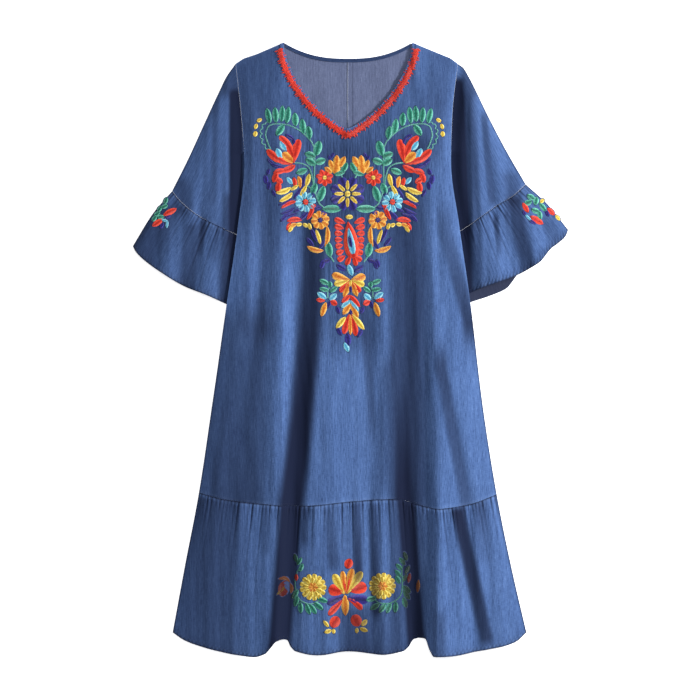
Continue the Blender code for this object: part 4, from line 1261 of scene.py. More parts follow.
def neck_line(outward, count):
    """Points at even steps along the front neck from left to right, moved out along its normals."""
    turn = np.linspace(-0.5 * np.pi, 0.5 * np.pi, NECK_SAMPLES)
    x = NECK_X + NECK_HALF_WIDTH * np.sin(turn)
    edge = np.stack([x, front_neck(x)], axis=-1)
    length = length_along(edge)
    edge = at_lengths(edge, length, np.linspace(0.0, length[-1], count))
    way = unit(np.gradient(edge, axis=0))
    return edge + outward * np.stack([way[:, 1], -way[:, 0]], axis=-1)


def trim_height(x, y):
    """Top of the front at the neck: the front cloth with the turned band on it."""
    return front_height(x, y) + SEAM_GAP + BAND_CLOTH


denim_band = chambray(
    "denim_band", (0.016, 0.030, 0.085), (0.040, 0.075, 0.190), (0.105, 0.165, 0.340), (0.004, 0.008, 0.024)
)
outward = np.linspace(BAND_WIDTH, 0.0, BAND_ROWS)
band_plan = np.stack([neck_line(distance, BAND_COLUMNS) for distance in outward])
band_limit = np.where(in_neck(band_plan[..., 0]), np.inf, shoulder_line(band_plan[..., 0]))
band_plan[..., 1] = np.minimum(band_plan[..., 1], band_limit)
band_length, band_out = np.meshgrid(np.linspace(0.0, FRONT_NECK_LENGTH, BAND_COLUMNS), outward)
band_drift = np.sin(band_length / BAND_PUCKER_DRIFT)
band_ripple = BAND_PUCKER_RISE * np.sin(2 * np.pi * band_length / BAND_PUCKER + band_drift)
band_top = trim_height(band_plan[..., 0], band_plan[..., 1]) + band_ripple
neck_band = cloth_sheet(
    "front_neck_band",
    raised(band_plan, band_top),
    np.stack([band_out, band_length], axis=-1),
    denim_band,
    denim_inside,
    0.7 * near(band_out - BAND_WEAR_PLACE, BAND_WEAR_REACH),
    np.ones_like(band_length),
    thickness=BAND_CLOTH,
)
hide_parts("neck_band_front")

back_band_x = NECK_X + np.linspace(-1, 1, BACK_BAND_COLUMNS) * (NECK_HALF_WIDTH - BACK_BAND_INSET)
neck_depth = back_neck(back_band_x) - front_neck(back_band_x)
back_band_width = np.minimum(BAND_WIDTH, BACK_BAND_SHARE * neck_depth)
back_band_y = back_neck(back_band_x) - np.linspace(1, 0, BAND_ROWS)[:, None] * back_band_width
back_band_x = np.tile(back_band_x, (BAND_ROWS, 1))
back_band_top = CLOTH + back_ripple(back_band_x, back_band_y) + SEAM_GAP + BAND_CLOTH
# The back band gets an even painted shade over all of it.
back_band = cloth_sheet(
    "back_neck_band",
    np.stack([back_band_x, back_band_y, back_band_top], axis=-1),
    np.stack([back_band_y, back_band_x], axis=-1),
    denim_band,
    denim_inside,
    0.3 * near(back_band_y - back_band_y[:1], BACK_BAND_WEAR_REACH),
    0.5 * np.ones_like(back_band_x),
    BACK_BAND_PAINTED_SHADE * np.ones_like(back_band_x),
    thickness=BAND_CLOTH,
)
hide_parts("neck_band_back")

allowance_top = back_neck(NECK_X) - BAND_WIDTH - SEAM_GAP
allowance_x, allowance_y = np.meshgrid(
    NECK_X + np.linspace(0, ALLOWANCE_WIDTH, 6), np.linspace(ALLOWANCE_LOW_Y, allowance_top, 40)
)
allowance_z = CLOTH + back_ripple(allowance_x, allowance_y) + SEAM_GAP + BAND_CLOTH
# The pressed edges get a painted shadow along their free side.
allowance = cloth_sheet(
    "centre_back_edges",
    np.stack([allowance_x, allowance_y, allowance_z], axis=-1),
    np.stack([allowance_x, allowance_y], axis=-1),
    denim_inside,
    denim,
    0.45 * near(allowance_x - NECK_X, ALLOWANCE_WEAR_REACH),
    hollow=0.75 * near(allowance_x - NECK_X - ALLOWANCE_WIDTH, ALLOWANCE_SHADE_REACH),
    thickness=BAND_CLOTH,
)
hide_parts("centre_back_allowance")

# Satin-stitch embroidery: petals, leaves and blobs of glossy rayon thread, sewn through the front cloth.
# Each is a low dome, its stitches slanting out from a dent along its middle, and a dark pad
# a little wider than it paints the shadow where the cloth is drawn in round it.
MM = 0.001
SATIN_RISE = 0.0011
SATIN_SINK = 0.0004
UPPER_RISE = 0.0022
TOP_RISE = 0.0029
CORE_RISE = 0.0035
CORD_RISE = 0.0009
CORD_COLUMNS = 5
PAD_DENT = 0.40
PAD_DENT_HALF = 0.30
PAD_END = 0.35
FULLER = 1.18
PETAL_END = 0.004
LEAST_WIDTH = 0.10
STITCH_SLANT = 1.3
STITCH_TURN = 5.2
STITCH_GROOVE = 0.0003
PAINTED_SHADOW_MARGIN = 0.9
PAINTED_SHADOW_RISE = 0.00035
LEAF = (0.62, 0.62)
ROUND = (0.80, 0.40)
OVAL = (0.48, 0.48)
PadGrid = namedtuple("PadGrid", "rows columns")
FINE_PAD = PadGrid(9, 7)
PLAIN_PAD = PadGrid(7, 5)
SMALL_PAD = PadGrid(5, 5)
Petal = namedtuple("Petal", "x y length width angle bend shape", defaults=(0.0, LEAF))
Ray = namedtuple("Ray", "x y tip_x tip_y width bend shape", defaults=(0.0, LEAF))


def thread(name, core, body, rim):
    """Embroidery thread on a pad's UV map, where X is from -1 to 1 across it and Y is millimetres along it.
    The colour goes from the core to the rim, with painted shade in the line between slanting stitches,
    and the painted-shade mark darkens it as it does the cloth."""
    material, tree, shader = new_material(name, 0.45, 0.05)
    place = add_node(tree, "SeparateXYZ", [(0, add_node(tree, "UVMap", uv_map="thread").outputs[0])])
    out = maths(tree, "ABSOLUTE", place.outputs[0])
    slanted = maths(tree, "MULTIPLY_ADD", out, STITCH_SLANT, place.outputs[1])
    stitch = maths(tree, "SINE", maths(tree, "MULTIPLY", slanted, STITCH_TURN))
    here = add_node(tree, "TexCoord").outputs["Object"]
    blotch = noise(tree, here, (420, 420, 420), 2)
    level = maths(tree, "MULTIPLY_ADD", blotch, 0.95, maths(tree, "SUBTRACT", out, 0.52))
    ramp = add_node(tree, "ValToRGB", [(0, level)])
    ramp.color_ramp.elements[0].position = 0.05
    ramp.color_ramp.elements[0].color = (*core, 1)
    ramp.color_ramp.elements[1].position = 0.78
    ramp.color_ramp.elements[1].color = (*rim, 1)
    ramp.color_ramp.elements.new(0.36).color = (*body, 1)
    painted_groove_shade = maths(tree, "MULTIPLY_ADD", stitch, -0.20, 0.14)
    # The dark colour is painted shade, between stitches and where the painted-shade mark falls.
    dark = tuple(0.15 * channel for channel in core)
    grooved = add_node(
        tree, "Mix", [("Factor", painted_groove_shade), (6, ramp.outputs[0]), (7, (*dark, 1))], data_type="RGBA"
    )
    hollow = add_node(tree, "Attribute", attribute_name="hollow").outputs["Fac"]
    painted_shade_node = add_node(
        tree, "Mix", [("Factor", hollow), (6, grooved.outputs[2]), (7, (*dark, 1))], data_type="RGBA"
    )
    tree.links.new(painted_shade_node.outputs[2], shader.inputs["Base Color"])
    bump = add_node(tree, "Bump", [("Height", stitch), ("Distance", STITCH_GROOVE), ("Strength", 0.6)])
    tree.links.new(bump.outputs[0], shader.inputs["Normal"])
    return material


THREADS = {
    "red": thread("thread_red", (0.36, 0.010, 0.005), (0.66, 0.032, 0.014), (0.84, 0.085, 0.036)),
    "orange": thread("thread_orange", (0.46, 0.11, 0.008), (0.68, 0.26, 0.025), (0.84, 0.50, 0.11)),
    "yellow": thread("thread_yellow", (0.42, 0.25, 0.020), (0.74, 0.53, 0.065), (0.88, 0.75, 0.21)),
    "green": thread("thread_green", (0.006, 0.095, 0.066), (0.024, 0.235, 0.160), (0.17, 0.53, 0.40)),
    "mint": thread("thread_mint", (0.045, 0.230, 0.175), (0.110, 0.370, 0.290), (0.30, 0.60, 0.51)),
    "blue": thread("thread_blue", (0.045, 0.26, 0.44), (0.14, 0.46, 0.60), (0.36, 0.68, 0.76)),
    "violet": thread("thread_violet", (0.009, 0.007, 0.080), (0.020, 0.016, 0.175), (0.042, 0.036, 0.29)),
    "denim": thread("thread_denim", (0.05, 0.08, 0.18), (0.09, 0.145, 0.30), (0.16, 0.24, 0.44)),
}
# Painted shadow round the petals: a near-black colour for dark pads a little wider than each petal.
painted_petal_shadow, painted_petal_shadow_tree, painted_petal_shadow_shader = new_material("painted_petal_shadow", 0.85, 0.1)
painted_petal_shadow_at = add_node(painted_petal_shadow_tree, "TexCoord").outputs["Object"]
painted_petal_shadow_ramp = add_node(painted_petal_shadow_tree, "ValToRGB", [(0, noise(painted_petal_shadow_tree, painted_petal_shadow_at, (900, 300, 300)))])
painted_petal_shadow_ramp.color_ramp.elements[0].color = (0.004, 0.007, 0.028, 1)
painted_petal_shadow_ramp.color_ramp.elements[1].color = (0.030, 0.050, 0.135, 1)
painted_petal_shadow_tree.links.new(painted_petal_shadow_ramp.outputs[0], painted_petal_shadow_shader.inputs["Base Color"])


def raised_pads(name, surface, lines, half_widths, rise, material, slot, columns, hollow=None):
    """Closed low domes along lines on the cloth, from arrays of (pad, row, xy) and (pad, row).
    The height across is 1 - w^4 with a dent in the middle, and the edges are sunk just under the cloth."""
    count, rows = half_widths.shape
    w = np.linspace(-1.0, 1.0, columns)
    along_line = np.gradient(lines, axis=1)
    along_line /= np.maximum(np.linalg.norm(along_line, axis=-1, keepdims=True), 1e-9)
    side = np.stack([-along_line[..., 1], along_line[..., 0]], axis=-1)
    plan = lines[:, :, None] + side[:, :, None] * (w * half_widths[..., None])[..., None]
    t = np.linspace(0.0, 1.0, rows)[None, :, None]
    dome = (1 - w ** 4) * (1 - PAD_DENT * near(w, PAD_DENT_HALF))
    ends = PAD_END + (1 - PAD_END) * np.sqrt(np.maximum(np.sin(np.pi * t), 0.0))
    z = surface(plan[..., 0], plan[..., 1]) + rise * ends * dome - SATIN_SINK * w ** 8
    points = raised(plan, z).reshape(-1, 3)
    step = np.linalg.norm(np.diff(lines, axis=1), axis=-1)
    way = np.concatenate([np.zeros((count, 1)), np.cumsum(step, axis=1)], axis=1) / MM
    uv = np.stack(np.broadcast_arrays(w[None, None, :], way[..., None]), axis=-1).reshape(-1, 2)
    index = np.arange(rows * columns).reshape(rows, columns)
    corner = index[:-1, :-1].ravel()
    over = np.stack([corner, corner + columns, corner + columns + 1, corner + 1], axis=1)
    under = np.stack([index[:-1, 0], index[:-1, -1], index[1:, -1], index[1:, 0]], axis=1)
    quads = np.concatenate([over, under])
    offset = (np.arange(count) * rows * columns)[:, None, None]
    caps = np.stack([index[0], index[-1, ::-1]])
    faces = (quads + offset).reshape(-1, 4).tolist() + (caps + offset).reshape(-1, columns).tolist()
    marks = [("hollow", hollow(points[:, 0], points[:, 1]))] if hollow else ()
    pads = add_piece(name, points, faces, uv, "thread", [material], None, marks)
    return pads


def petal_ends(entry):
    """Base, tip, width, bend and shape of a petal, given by its middle and angle, or of a ray."""
    if isinstance(entry, Ray):
        return (entry.x, entry.y), (entry.tip_x, entry.tip_y), entry.width, entry.bend, entry.shape
    turn = np.radians(entry.angle)
    half = 0.5 * entry.length * np.array([np.cos(turn), np.sin(turn)])
    middle = np.array([entry.x, entry.y])
    return middle - half, middle + half, entry.width, entry.bend, entry.shape


def petal_lines(entries, rows, margin=0.0):
    """Bent lines and half widths in metres. The half width goes as t^a (1 - t)^b, scaled to its widest."""
    base, tip, width, bend, shape = zip(*(petal_ends(entry) for entry in entries))
    base, tip, shape = np.array(base, float), np.array(tip, float), np.array(shape)
    width, bend = FULLER * np.array(width)[:, None], np.array(bend)[:, None, None]
    t = 0.5 - 0.5 * np.cos(np.pi * np.linspace(0.0, 1.0, rows))
    way = tip - base
    lengthwise = unit(way)
    base, way = base - margin * lengthwise, way + 2 * margin * lengthwise
    side = np.stack([-lengthwise[:, 1], lengthwise[:, 0]], axis=-1)
    bow = (4 * t * (1 - t))[None, :, None]
    lines = base[:, None] + t[None, :, None] * way[:, None] + bend * bow * side[:, None]
    a, b = shape[:, :1], shape[:, 1:]
    widest = (a / (a + b)) ** a * (b / (a + b)) ** b
    inner = np.clip(t, PETAL_END, 1 - PETAL_END)[None, :]
    half = 0.5 * width * np.maximum(inner ** a * (1 - inner) ** b / widest, LEAST_WIDTH)
    return lines * MM, (half + margin) * MM


def thread_slot(colour):
    """The record's slot for a thread, where the pale mint is one of the greens."""
    return "thread_green" if colour == "mint" else f"thread_{colour}"


def satin(name, surface, entries, colour, rise=SATIN_RISE, hollow=None, grid=FINE_PAD):
    """Petals and rays of one colour of thread, as one piece."""
    lines, half = petal_lines(entries, grid.rows)
    slot = thread_slot(colour)
    return raised_pads(name, surface, lines, half, rise, THREADS[colour], slot, grid.columns, hollow)


def embroider(zone, surface, colours, rise=SATIN_RISE, hollow=None, with_painted_shadow=True):
    """The petals of one place, as one piece for each colour of thread, and a painted shadow round them."""
    pieces = [
        satin(f"{zone}_{colour}", surface, entries, colour, rise, hollow)
        for colour, entries in colours.items()
    ]
    if with_painted_shadow:
        lines, half = petal_lines(sum(colours.values(), []), PLAIN_PAD.rows, PAINTED_SHADOW_MARGIN)
        pieces.append(
            raised_pads(
                f"{zone}_drawn_in", surface, lines, half, PAINTED_SHADOW_RISE, painted_petal_shadow, "denim", PLAIN_PAD.columns
            )
        )
    return pieces


def satin_lines(name, surface, paths, width, colour, steps=28, hollow=None):
    """Thin cords of thread, from lists of points in millimetres, each of even width to its ends."""
    lines = MM * np.array([along(path, np.linspace(0, 1, steps)) for path in paths])
    half = np.full(lines.shape[:2], 0.5 * width * MM)
    material, slot = THREADS[colour], thread_slot(colour)
    return raised_pads(name, surface, lines, half, CORD_RISE, material, slot, CORD_COLUMNS, hollow)


def placed(entries, centre, mirror):
    """The entries of a left half given by their distance out from the centre line, on one side of it."""
    sign = 1 if mirror else -1
    moved = []
    for entry in entries:
        if isinstance(entry, Ray):
            ends = {"x": centre + sign * entry.x, "tip_x": centre + sign * entry.tip_x}
            moved.append(entry._replace(**ends, bend=-entry.bend if mirror else entry.bend))
        else:
            angle = 180 - entry.angle if mirror else entry.angle
            bend = -entry.bend if mirror else entry.bend
            moved.append(entry._replace(x=centre + sign * entry.x, angle=angle, bend=bend))
    return moved


def both_sides(entries, centre):
    return placed(entries, centre, False) + placed(entries, centre, True)


def ring(x, y, petals, inner, outer, width, turn=0.0, shape=ROUND):
    """Rays evenly round a flower's middle, from the inner radius to the outer."""
    rays = []
    for angle in np.radians(turn + 360.0 * np.arange(petals) / petals):
        way = np.array([np.cos(angle), np.sin(angle)])
        rays.append(Ray(*((x, y) + inner * way), *((x, y) + outer * way), width, 0.0, shape))
    return rays


def disc(x, y, radius, turn=0.0):
    return [Petal(x, y, 2 * radius, 2 * radius, turn, 0, OVAL)]


# Yoke embroidery: a mirrored pair of sprays, each with a curled frond, a red tulip and small flowers,
# either side of a yellow daisy under the V. All of it is folk florals set out by length, width and angle.
YOKE_X = -2.5
YOKE_GREEN = (
    Petal(64, 347, 21, 10.7, 97),
    Petal(74, 357, 25, 10.7, 97),
    Petal(86, 368, 22, 10.7, 93),
    Petal(98, 375, 27, 10, 83),
    Petal(107, 377, 26, 10, 87),
    Petal(117.5, 375, 25, 10, 95),
    Petal(129, 374, 25, 9.5, 103),
    Petal(110, 351, 21, 10.7, 235),
    Petal(50, 322, 24, 13, 75, 0, OVAL),
    Petal(62, 311, 18, 11, 160),
    Petal(61, 300, 19, 11, 150),
    Petal(46, 301, 18, 11, 20),
    Petal(75.5, 285, 19, 10, 20),
    Petal(56, 257, 19, 11, 70),
    Petal(44, 249, 27, 12, 72),
    Petal(27, 225, 31, 12, 0),
    Petal(7, 291, 18, 9, 62),
    Petal(15, 282, 18, 8, 15),
    Petal(32, 160, 25, 12, 100),
)
YOKE_RED = (
    Ray(88, 298, 111, 341, 12, -5, ROUND),
    Ray(88, 299, 80, 336, 13, 1, ROUND),
    Ray(90, 297, 131, 320, 12, 5, ROUND),
    Petal(97, 290, 24, 9.5, 205, 1.5),
    Petal(111, 284, 20, 9, 195, -1),
    Petal(118, 275, 17, 9.5, 250),
    Petal(112, 270, 14, 9, 330, 0, OVAL),
    Petal(113, 259, 16, 9.5, 262, 0, OVAL),
    Petal(87, 268, 15, 7, 100),
    Petal(96, 231, 26, 6.5, 205, -3),
    Petal(87, 206, 24, 8.5, 185, -2),
    Petal(96, 197, 14, 7, 245),
    Petal(62, 220, 27, 7, 248, 1.5),
    Petal(58, 229, 11, 6, 200, 0, OVAL),
)
YOKE_ORANGE = (
    Petal(98, 307, 23, 15, 140, 0, OVAL),
    Petal(11, 300, 20, 10, 62),
    Petal(20, 301, 20, 10, 85),
    Petal(28, 295, 18, 9, 112),
    Petal(33, 287, 15, 8, 140),
    Petal(21, 290, 18, 14, 80, 0, OVAL),
    Petal(80, 268, 19, 8, 100, -1.5),
    Petal(91, 198, 17, 7, 205),
    Petal(37, 181, 33, 8, 265, 3),
    Petal(54, 162, 27, 8.5, 165, 3),
)
YOKE_YELLOW = (
    Petal(143.5, 367, 9, 6, 30, 0, OVAL),
    Petal(149, 357, 9, 6, 250, 0, OVAL),
    Petal(150, 345, 9, 7, 80, 0, OVAL),
    Petal(66, 271, 21, 8, 75),
    Petal(73, 254, 21, 7, 60),
    Petal(87, 259, 15, 6, 35),
    Petal(105, 255, 26, 8.5, 200, 2.5),
    Petal(101, 244, 25, 8.5, 215, 2.5),
    Petal(93, 194, 14, 7, 245),
    Petal(80, 200, 10, 6, 190, 0, OVAL),
    Petal(70, 199, 9, 6, 150, 0, OVAL),
    Petal(63, 197, 11, 6, 110, 0, OVAL),
    Petal(49, 180, 25, 6.5, 108),
)
YOKE_BLUE = (
    Petal(105, 326, 18, 10, 125),
    Petal(112, 313, 19, 10, 115),
    Petal(95, 270, 14, 7, 130),
)
YOKE_VIOLET = (
    Petal(95, 340, 15, 7, 150),
    Petal(88, 333, 9, 5, 100),
    Petal(115, 294, 20, 6, 165, 1),
    Petal(125, 300, 14, 5, 140),
    Petal(129, 284, 10, 6, 70),
    Petal(133, 272, 14, 8, 100, 0, OVAL),
    Petal(128, 262, 12, 7, 80, 0, OVAL),
    Petal(120, 250, 12, 5, 120),
    Petal(26, 311, 9, 5, 60),
    Petal(31, 307, 8, 5, 120),
    Petal(73, 268, 22, 6, 80),
    Petal(82, 250, 20, 6, 55),
    Petal(58, 248, 10, 5, 80),
    Petal(102, 237, 24, 6, 210, 2),
    Petal(98, 222, 24, 6, 205, 2),
    Petal(103, 211, 18, 6, 225),
    Petal(93, 215, 20, 5, 195),
    Petal(50, 227, 12, 6, 200),
    Petal(41, 218, 12, 6, 170),
    Petal(72, 214, 20, 7, 225),
    Petal(80, 224, 18, 5, 205),
    Petal(56, 183, 24, 7, 115),
    Petal(43, 168, 18, 6, 240),
    Petal(62, 172, 18, 6, 130),
    Petal(36, 142, 12, 7, 200, 0, OVAL),
    Petal(43, 135, 12, 7, 250, 0, OVAL),
)
YOKE_STEMS = (
    ((55, 322), (61, 334), (65, 338), (75.5, 348), (87, 355), (102, 360), (117, 361), (129, 357),
     (133, 348)),
    ((133, 348), (133.5, 343), (132, 337), (129, 328), (125, 320)),
    ((87, 299), (75.5, 297.5), (64, 291), (59, 277), (56, 260), (52, 245), (47, 233), (38, 226)),
    ((55, 322), (55, 300), (55.5, 280), (56, 263)),
    ((36, 170), (33, 160), (29, 148), (24, 140)),
    ((70, 262), (64, 260), (57, 252)),
    ((15, 283), (12, 278), (9, 273)),
)
SCALLOP_CUSPS = ((127, 362), (134, 361), (138, 354), (139, 345), (138, 336), (134, 328), (126, 321))
SCALLOP_BULGE = 0.42
SCALLOP_SHARES = (0.0, 0.2, 0.5, 0.8)
DAISY = Point(-4.8, 249)


def scalloped(cusps, bulge):
    """Points along arcs from cusp to cusp, each bulging outwards by a share of its length."""
    points = []
    for start, end in zip(np.array(cusps[:-1], float), np.array(cusps[1:], float)):
        outwards = np.array([start[1] - end[1], end[0] - start[0]])
        for t in SCALLOP_SHARES:
            points.append(start + t * (end - start) + bulge * 4 * t * (1 - t) * outwards)
    return points + [np.array(cusps[-1], float)]


def one_side(points, mirror):
    """A path given by its distance out from the yoke's middle, on one side of it."""
    return [(YOKE_X + (out if mirror else -out), y) for out, y in points]


def twin_rings(out, y, *shape):
    """A ring on each side of the yoke's middle."""
    return ring(YOKE_X - out, y, *shape) + ring(YOKE_X + out, y, *shape)


yoke = {
    "violet": both_sides(YOKE_VIOLET, YOKE_X) + ring(*DAISY, 8, 8, 28, 14, 22.5),
    "green": both_sides(YOKE_GREEN, YOKE_X),
    "red": both_sides(YOKE_RED, YOKE_X) + twin_rings(39, 275, 7, 3, 14, 8, 15, LEAF),
    "orange": both_sides(YOKE_ORANGE, YOKE_X) + twin_rings(46, 207, 8, 3.5, 15, 9, 10),
    "yellow": both_sides(YOKE_YELLOW, YOKE_X) + ring(*DAISY, 8, 6.5, 21.5, 8.5, 0, LEAF),
    "blue": both_sides(YOKE_BLUE, YOKE_X) + twin_rings(69.5, 236, 8, 4.5, 17, 9, 10),
}
yoke_centres = {
    "red": disc(YOKE_X - 69.5, 236, 4.2) + disc(YOKE_X + 69.5, 236, 4.2),
    "yellow": disc(*DAISY, 4.5) + disc(YOKE_X - 39, 275, 3.2) + disc(YOKE_X + 39, 275, 3.2),
    "violet": disc(YOKE_X - 46, 207, 3.2) + disc(YOKE_X + 46, 207, 3.2),
}
stem_paths = [one_side(path, mirror) for path in YOKE_STEMS for mirror in (False, True)]
scallop_paths = [one_side(scalloped(SCALLOP_CUSPS, SCALLOP_BULGE), mirror) for mirror in (False, True)]
front_embroidery = embroider("yoke", front_height, yoke)
front_embroidery += embroider("yoke_centre", front_height, yoke_centres, UPPER_RISE, with_painted_shadow=False)
front_embroidery.append(satin_lines("yoke_stems", front_height, stem_paths, 2.4, "mint"))
front_embroidery.append(satin_lines("yoke_scallops", front_height, scallop_paths, 2.0, "mint", steps=61))

# Centre embroidery: a red oval medallion under the daisy, and below it a bow, sprigs and a pointed tail.
# It is the same satin stitch, with the medallion's heart sewn over its petals.
COLUMN_X = -0.5
MEDALLION = Point(-1.5, 176)
MEDALLION_ROWS = 7
MEDALLION_HEIGHT = 52
MEDALLION_HALF = 24
HeartLayer = namedtuple("HeartLayer", "name colour petal rise")
HEART = (
    HeartLayer("heart_red", "red", Ray(-4, 204, 5, 146, 22.5, 0, ROUND), UPPER_RISE),
    HeartLayer("heart_middle_blue", "blue", Ray(-3.5, 195, 4.5, 152, 13.5, 0, ROUND), TOP_RISE),
    HeartLayer("heart_core_violet", "violet", Ray(-2.5, 183, 1.5, 162, 7), CORE_RISE),
)
COLUMN_YELLOW = (
    Petal(-2, 212, 12, 7, 0, 0, OVAL),
    Ray(-2, 111, -26, 104, 11, 0, ROUND),
    Ray(1, 111, 22, 103, 11, 0, ROUND),
    Petal(0, 106, 10, 6, 90),
    Ray(-8, 52, -23, 34, 9),
    Ray(2, 56, 22, 32, 9),
)
COLUMN_ORANGE = (
    Ray(-1, 112, -29, 121, 13, 2, ROUND),
    Ray(1, 112, 23, 119, 13, -2, ROUND),
    Ray(-1, 109, -11, 84, 10),
    Ray(1, 109, 11, 85, 10),
    Ray(0, 73, -12, 56, 10),
    Ray(0, 73, 12, 51, 10),
    Ray(-1, 56, 0, 23, 7.5),
)
COLUMN_RED = (
    Ray(-1, 110, -17, 92, 9, 0, ROUND),
    Ray(1, 110, 16, 92, 9, 0, ROUND),
    Ray(-1, 87, -14, 75, 8),
    Ray(-1, 87, 15, 68, 8),
    Ray(-2, 57, -11, 25, 10, 0, ROUND),
    Ray(2, 57, 9, 22, 10, 0, ROUND),
)
COLUMN_BLUE = (
    Ray(-4, 136, 3, 118, 9),
    Ray(0, 78, -15, 67, 7.5),
    Ray(0, 78, 13, 61, 7.5),
    Ray(-10, 11, -3, -4, 8),
)
COLUMN_VIOLET = (
    Petal(-15, 131, 17, 9, 150),
    Petal(13, 129, 17, 8, 35),
    Petal(0, 98, 12, 8, 90),
    Petal(15, 26, 14, 7, 60),
    Petal(-18, 29, 14, 7, 120),
    Petal(1, 61, 10, 6, 90),
    Petal(-4, 16, 20, 10, 95),
)
SPRIG_STEM = ((33, 101), (36, 92), (36, 82))
SPRIG_GREEN = (
    Petal(41.5, 108, 17, 8, 155),
    Petal(32.5, 104, 10, 8, 100),
    Petal(41.5, 96, 16, 7, 170),
    Petal(26.5, 96, 15, 7, 35),
)
SPRIG_BLUE = (Petal(45.5, 86, 18, 9, 145), Petal(27.5, 84, 15, 9, 40))
SPRIG_RED = (Petal(47.5, 79, 14, 7, 175), Petal(26.5, 75, 13, 9, 330))
SPRIG_ORANGE = (Petal(42.5, 64, 24, 9, 252),)
SPRIG_VIOLET = (Petal(19.5, 63, 12, 6, 110), Petal(34, 72, 12, 6, 70), Petal(44, 138, 12, 7, 70))


def medallion_petals():
    """Petals down both sides of the heart, each turned a little more downwards, and two below it."""
    share = np.linspace(0.0, 1.0, MEDALLION_ROWS)
    foot_y = MEDALLION.y + MEDALLION_HEIGHT * (0.5 - share)
    tip_y = foot_y + 7 - 15 * share
    petals = []
    for sign in (-1, 1):
        foot_x = MEDALLION.x + sign * (7 + 4 * np.sin(np.pi * share))
        tip_x = MEDALLION.x + sign * (MEDALLION_HALF - 5 * share ** 3)
        petals += [Ray(*ends, 9, 0, ROUND) for ends in zip(foot_x, foot_y, tip_x, tip_y)]
    return petals + [Ray(0, 150, -7, 135, 8, 0, ROUND), Ray(5, 150, 9, 134, 8, 0, ROUND)]


centre_column = {
    "violet": list(COLUMN_VIOLET) + both_sides(SPRIG_VIOLET, COLUMN_X),
    "green": both_sides(SPRIG_GREEN, COLUMN_X),
    "red": list(COLUMN_RED) + both_sides(SPRIG_RED, COLUMN_X) + medallion_petals(),
    "orange": list(COLUMN_ORANGE) + both_sides(SPRIG_ORANGE, COLUMN_X),
    "yellow": list(COLUMN_YELLOW),
    "blue": list(COLUMN_BLUE) + both_sides(SPRIG_BLUE, COLUMN_X),
}
front_embroidery += embroider("column", front_height, centre_column)
for layer_name, colour, petal, rise in HEART:
    front_embroidery.append(satin(layer_name, front_height, [petal], colour, rise))
sprig_stems = [[(COLUMN_X + sign * out, y) for out, y in SPRIG_STEM] for sign in (-1, 1)]
front_embroidery.append(satin_lines("sprig_stems", front_height, sprig_stems, 2.2, "mint", steps=12))

# Hem embroidery: a many-coloured flower between two yellow marigolds, each in a crescent of green leaves.
# It is sewn on the tier's front, and follows its folds.
GROUND_RISE = 0.0012
HEM_LEFT = Point(-60, -380)
HEM_RIGHT = Point(51, -378)
LEFT_CRESCENT = (
    Point(-89, -392),
    Point(-87, -403),
    Point(-80, -413),
    Point(-68, -415),
    Point(-60, -415),
    Point(-51, -410),
    Point(-45, -400),
)
RIGHT_CRESCENT = (
    Point(33, -399),
    Point(39, -411),
    Point(51, -413),
    Point(61, -413),
    Point(72, -412),
    Point(87, -405),
    Point(90, -393),
    Point(90, -384),
)
HEM_GREEN = (
    Petal(-88, -334, 15, 7, 105),
    Petal(-82, -339, 14, 7, 60),
    Petal(-79, -349, 14, 7, 70),
    Petal(76, -368, 15, 8, 120),
    Petal(76, -358, 15, 7, 130),
    Petal(78, -348, 15, 7, 135),
    Petal(83, -339, 16, 7, 130),
    Petal(88, -331, 16, 7, 110),
    Petal(91, -353, 16, 7, 65),
    Petal(87, -366, 14, 7, 60),
)
HEM_RED = (
    Petal(-6, -376, 26, 14, 90, 0, ROUND),
    Petal(-23, -385, 24, 18, 165, 0, ROUND),
    Petal(12, -382, 28, 18, 18, 0, ROUND),
    Ray(-12, -399, -35, -424, 10, 0, ROUND),
    Ray(-6, -398, 18, -416, 10, 3, ROUND),
    Petal(-3, -342, 16, 13, 70, 0, OVAL),
    Petal(-25, -435, 19, 16, 60, 0, OVAL),
    Petal(9, -433, 20, 17, 120, 0, OVAL),
    Petal(-87, -365, 12, 6, 90),
    Petal(94, -366, 16, 6, 80),
)
HEM_ORANGE = (
    Ray(-9, -390, -13, -354, 10, 0, ROUND),
    Ray(-7, -390, 3, -350, 12, 0, ROUND),
    Ray(-9, -392, -8, -425, 12),
    Petal(108, -379, 21, 6, 85),
    Ray(-115, -366, -97, -373, 6, 4),
    Ray(-97, -374, -96, -391, 6, 2),
)
HEM_YELLOW = (
    Ray(-10, -391, -27, -359, 13, 0, ROUND),
    Ray(-5, -390, 18, -355, 13, 0, ROUND),
    Petal(-39, -438, 13, 6, 130),
    Petal(-36, -450, 12, 7, 20),
    Petal(-27, -450, 8, 6, 100),
    Petal(22, -437, 13, 8, 50),
    Petal(21, -448, 14, 7, 160),
    Petal(10, -449, 9, 6, 90),
    Ray(-118, -391, -103, -378, 5),
)
HEM_VIOLET = (
    Petal(-24, -400, 28, 13, 205, 0, ROUND),
    Petal(10, -399, 36, 15, -6, 0, ROUND),
)
HEM_STEMS = (
    ((-80, -347), (-86, -358), (-89, -372), (-87, -390), (-78, -403), (-64, -407), (-50, -402)),
    ((36, -398), (46, -405), (60, -406), (74, -400), (82, -388), (83, -372), (82, -355), (88, -335)),
)


def leaves_round(middle, places, length, width, lean):
    """Leaves at places round a flower, each turned by its lean from the way out of the flower's middle."""
    leaves = []
    for x, y in places:
        outwards = np.degrees(np.arctan2(y - middle.y, x - middle.x))
        leaves.append(Petal(x, y, length, width, outwards + lean))
    return leaves


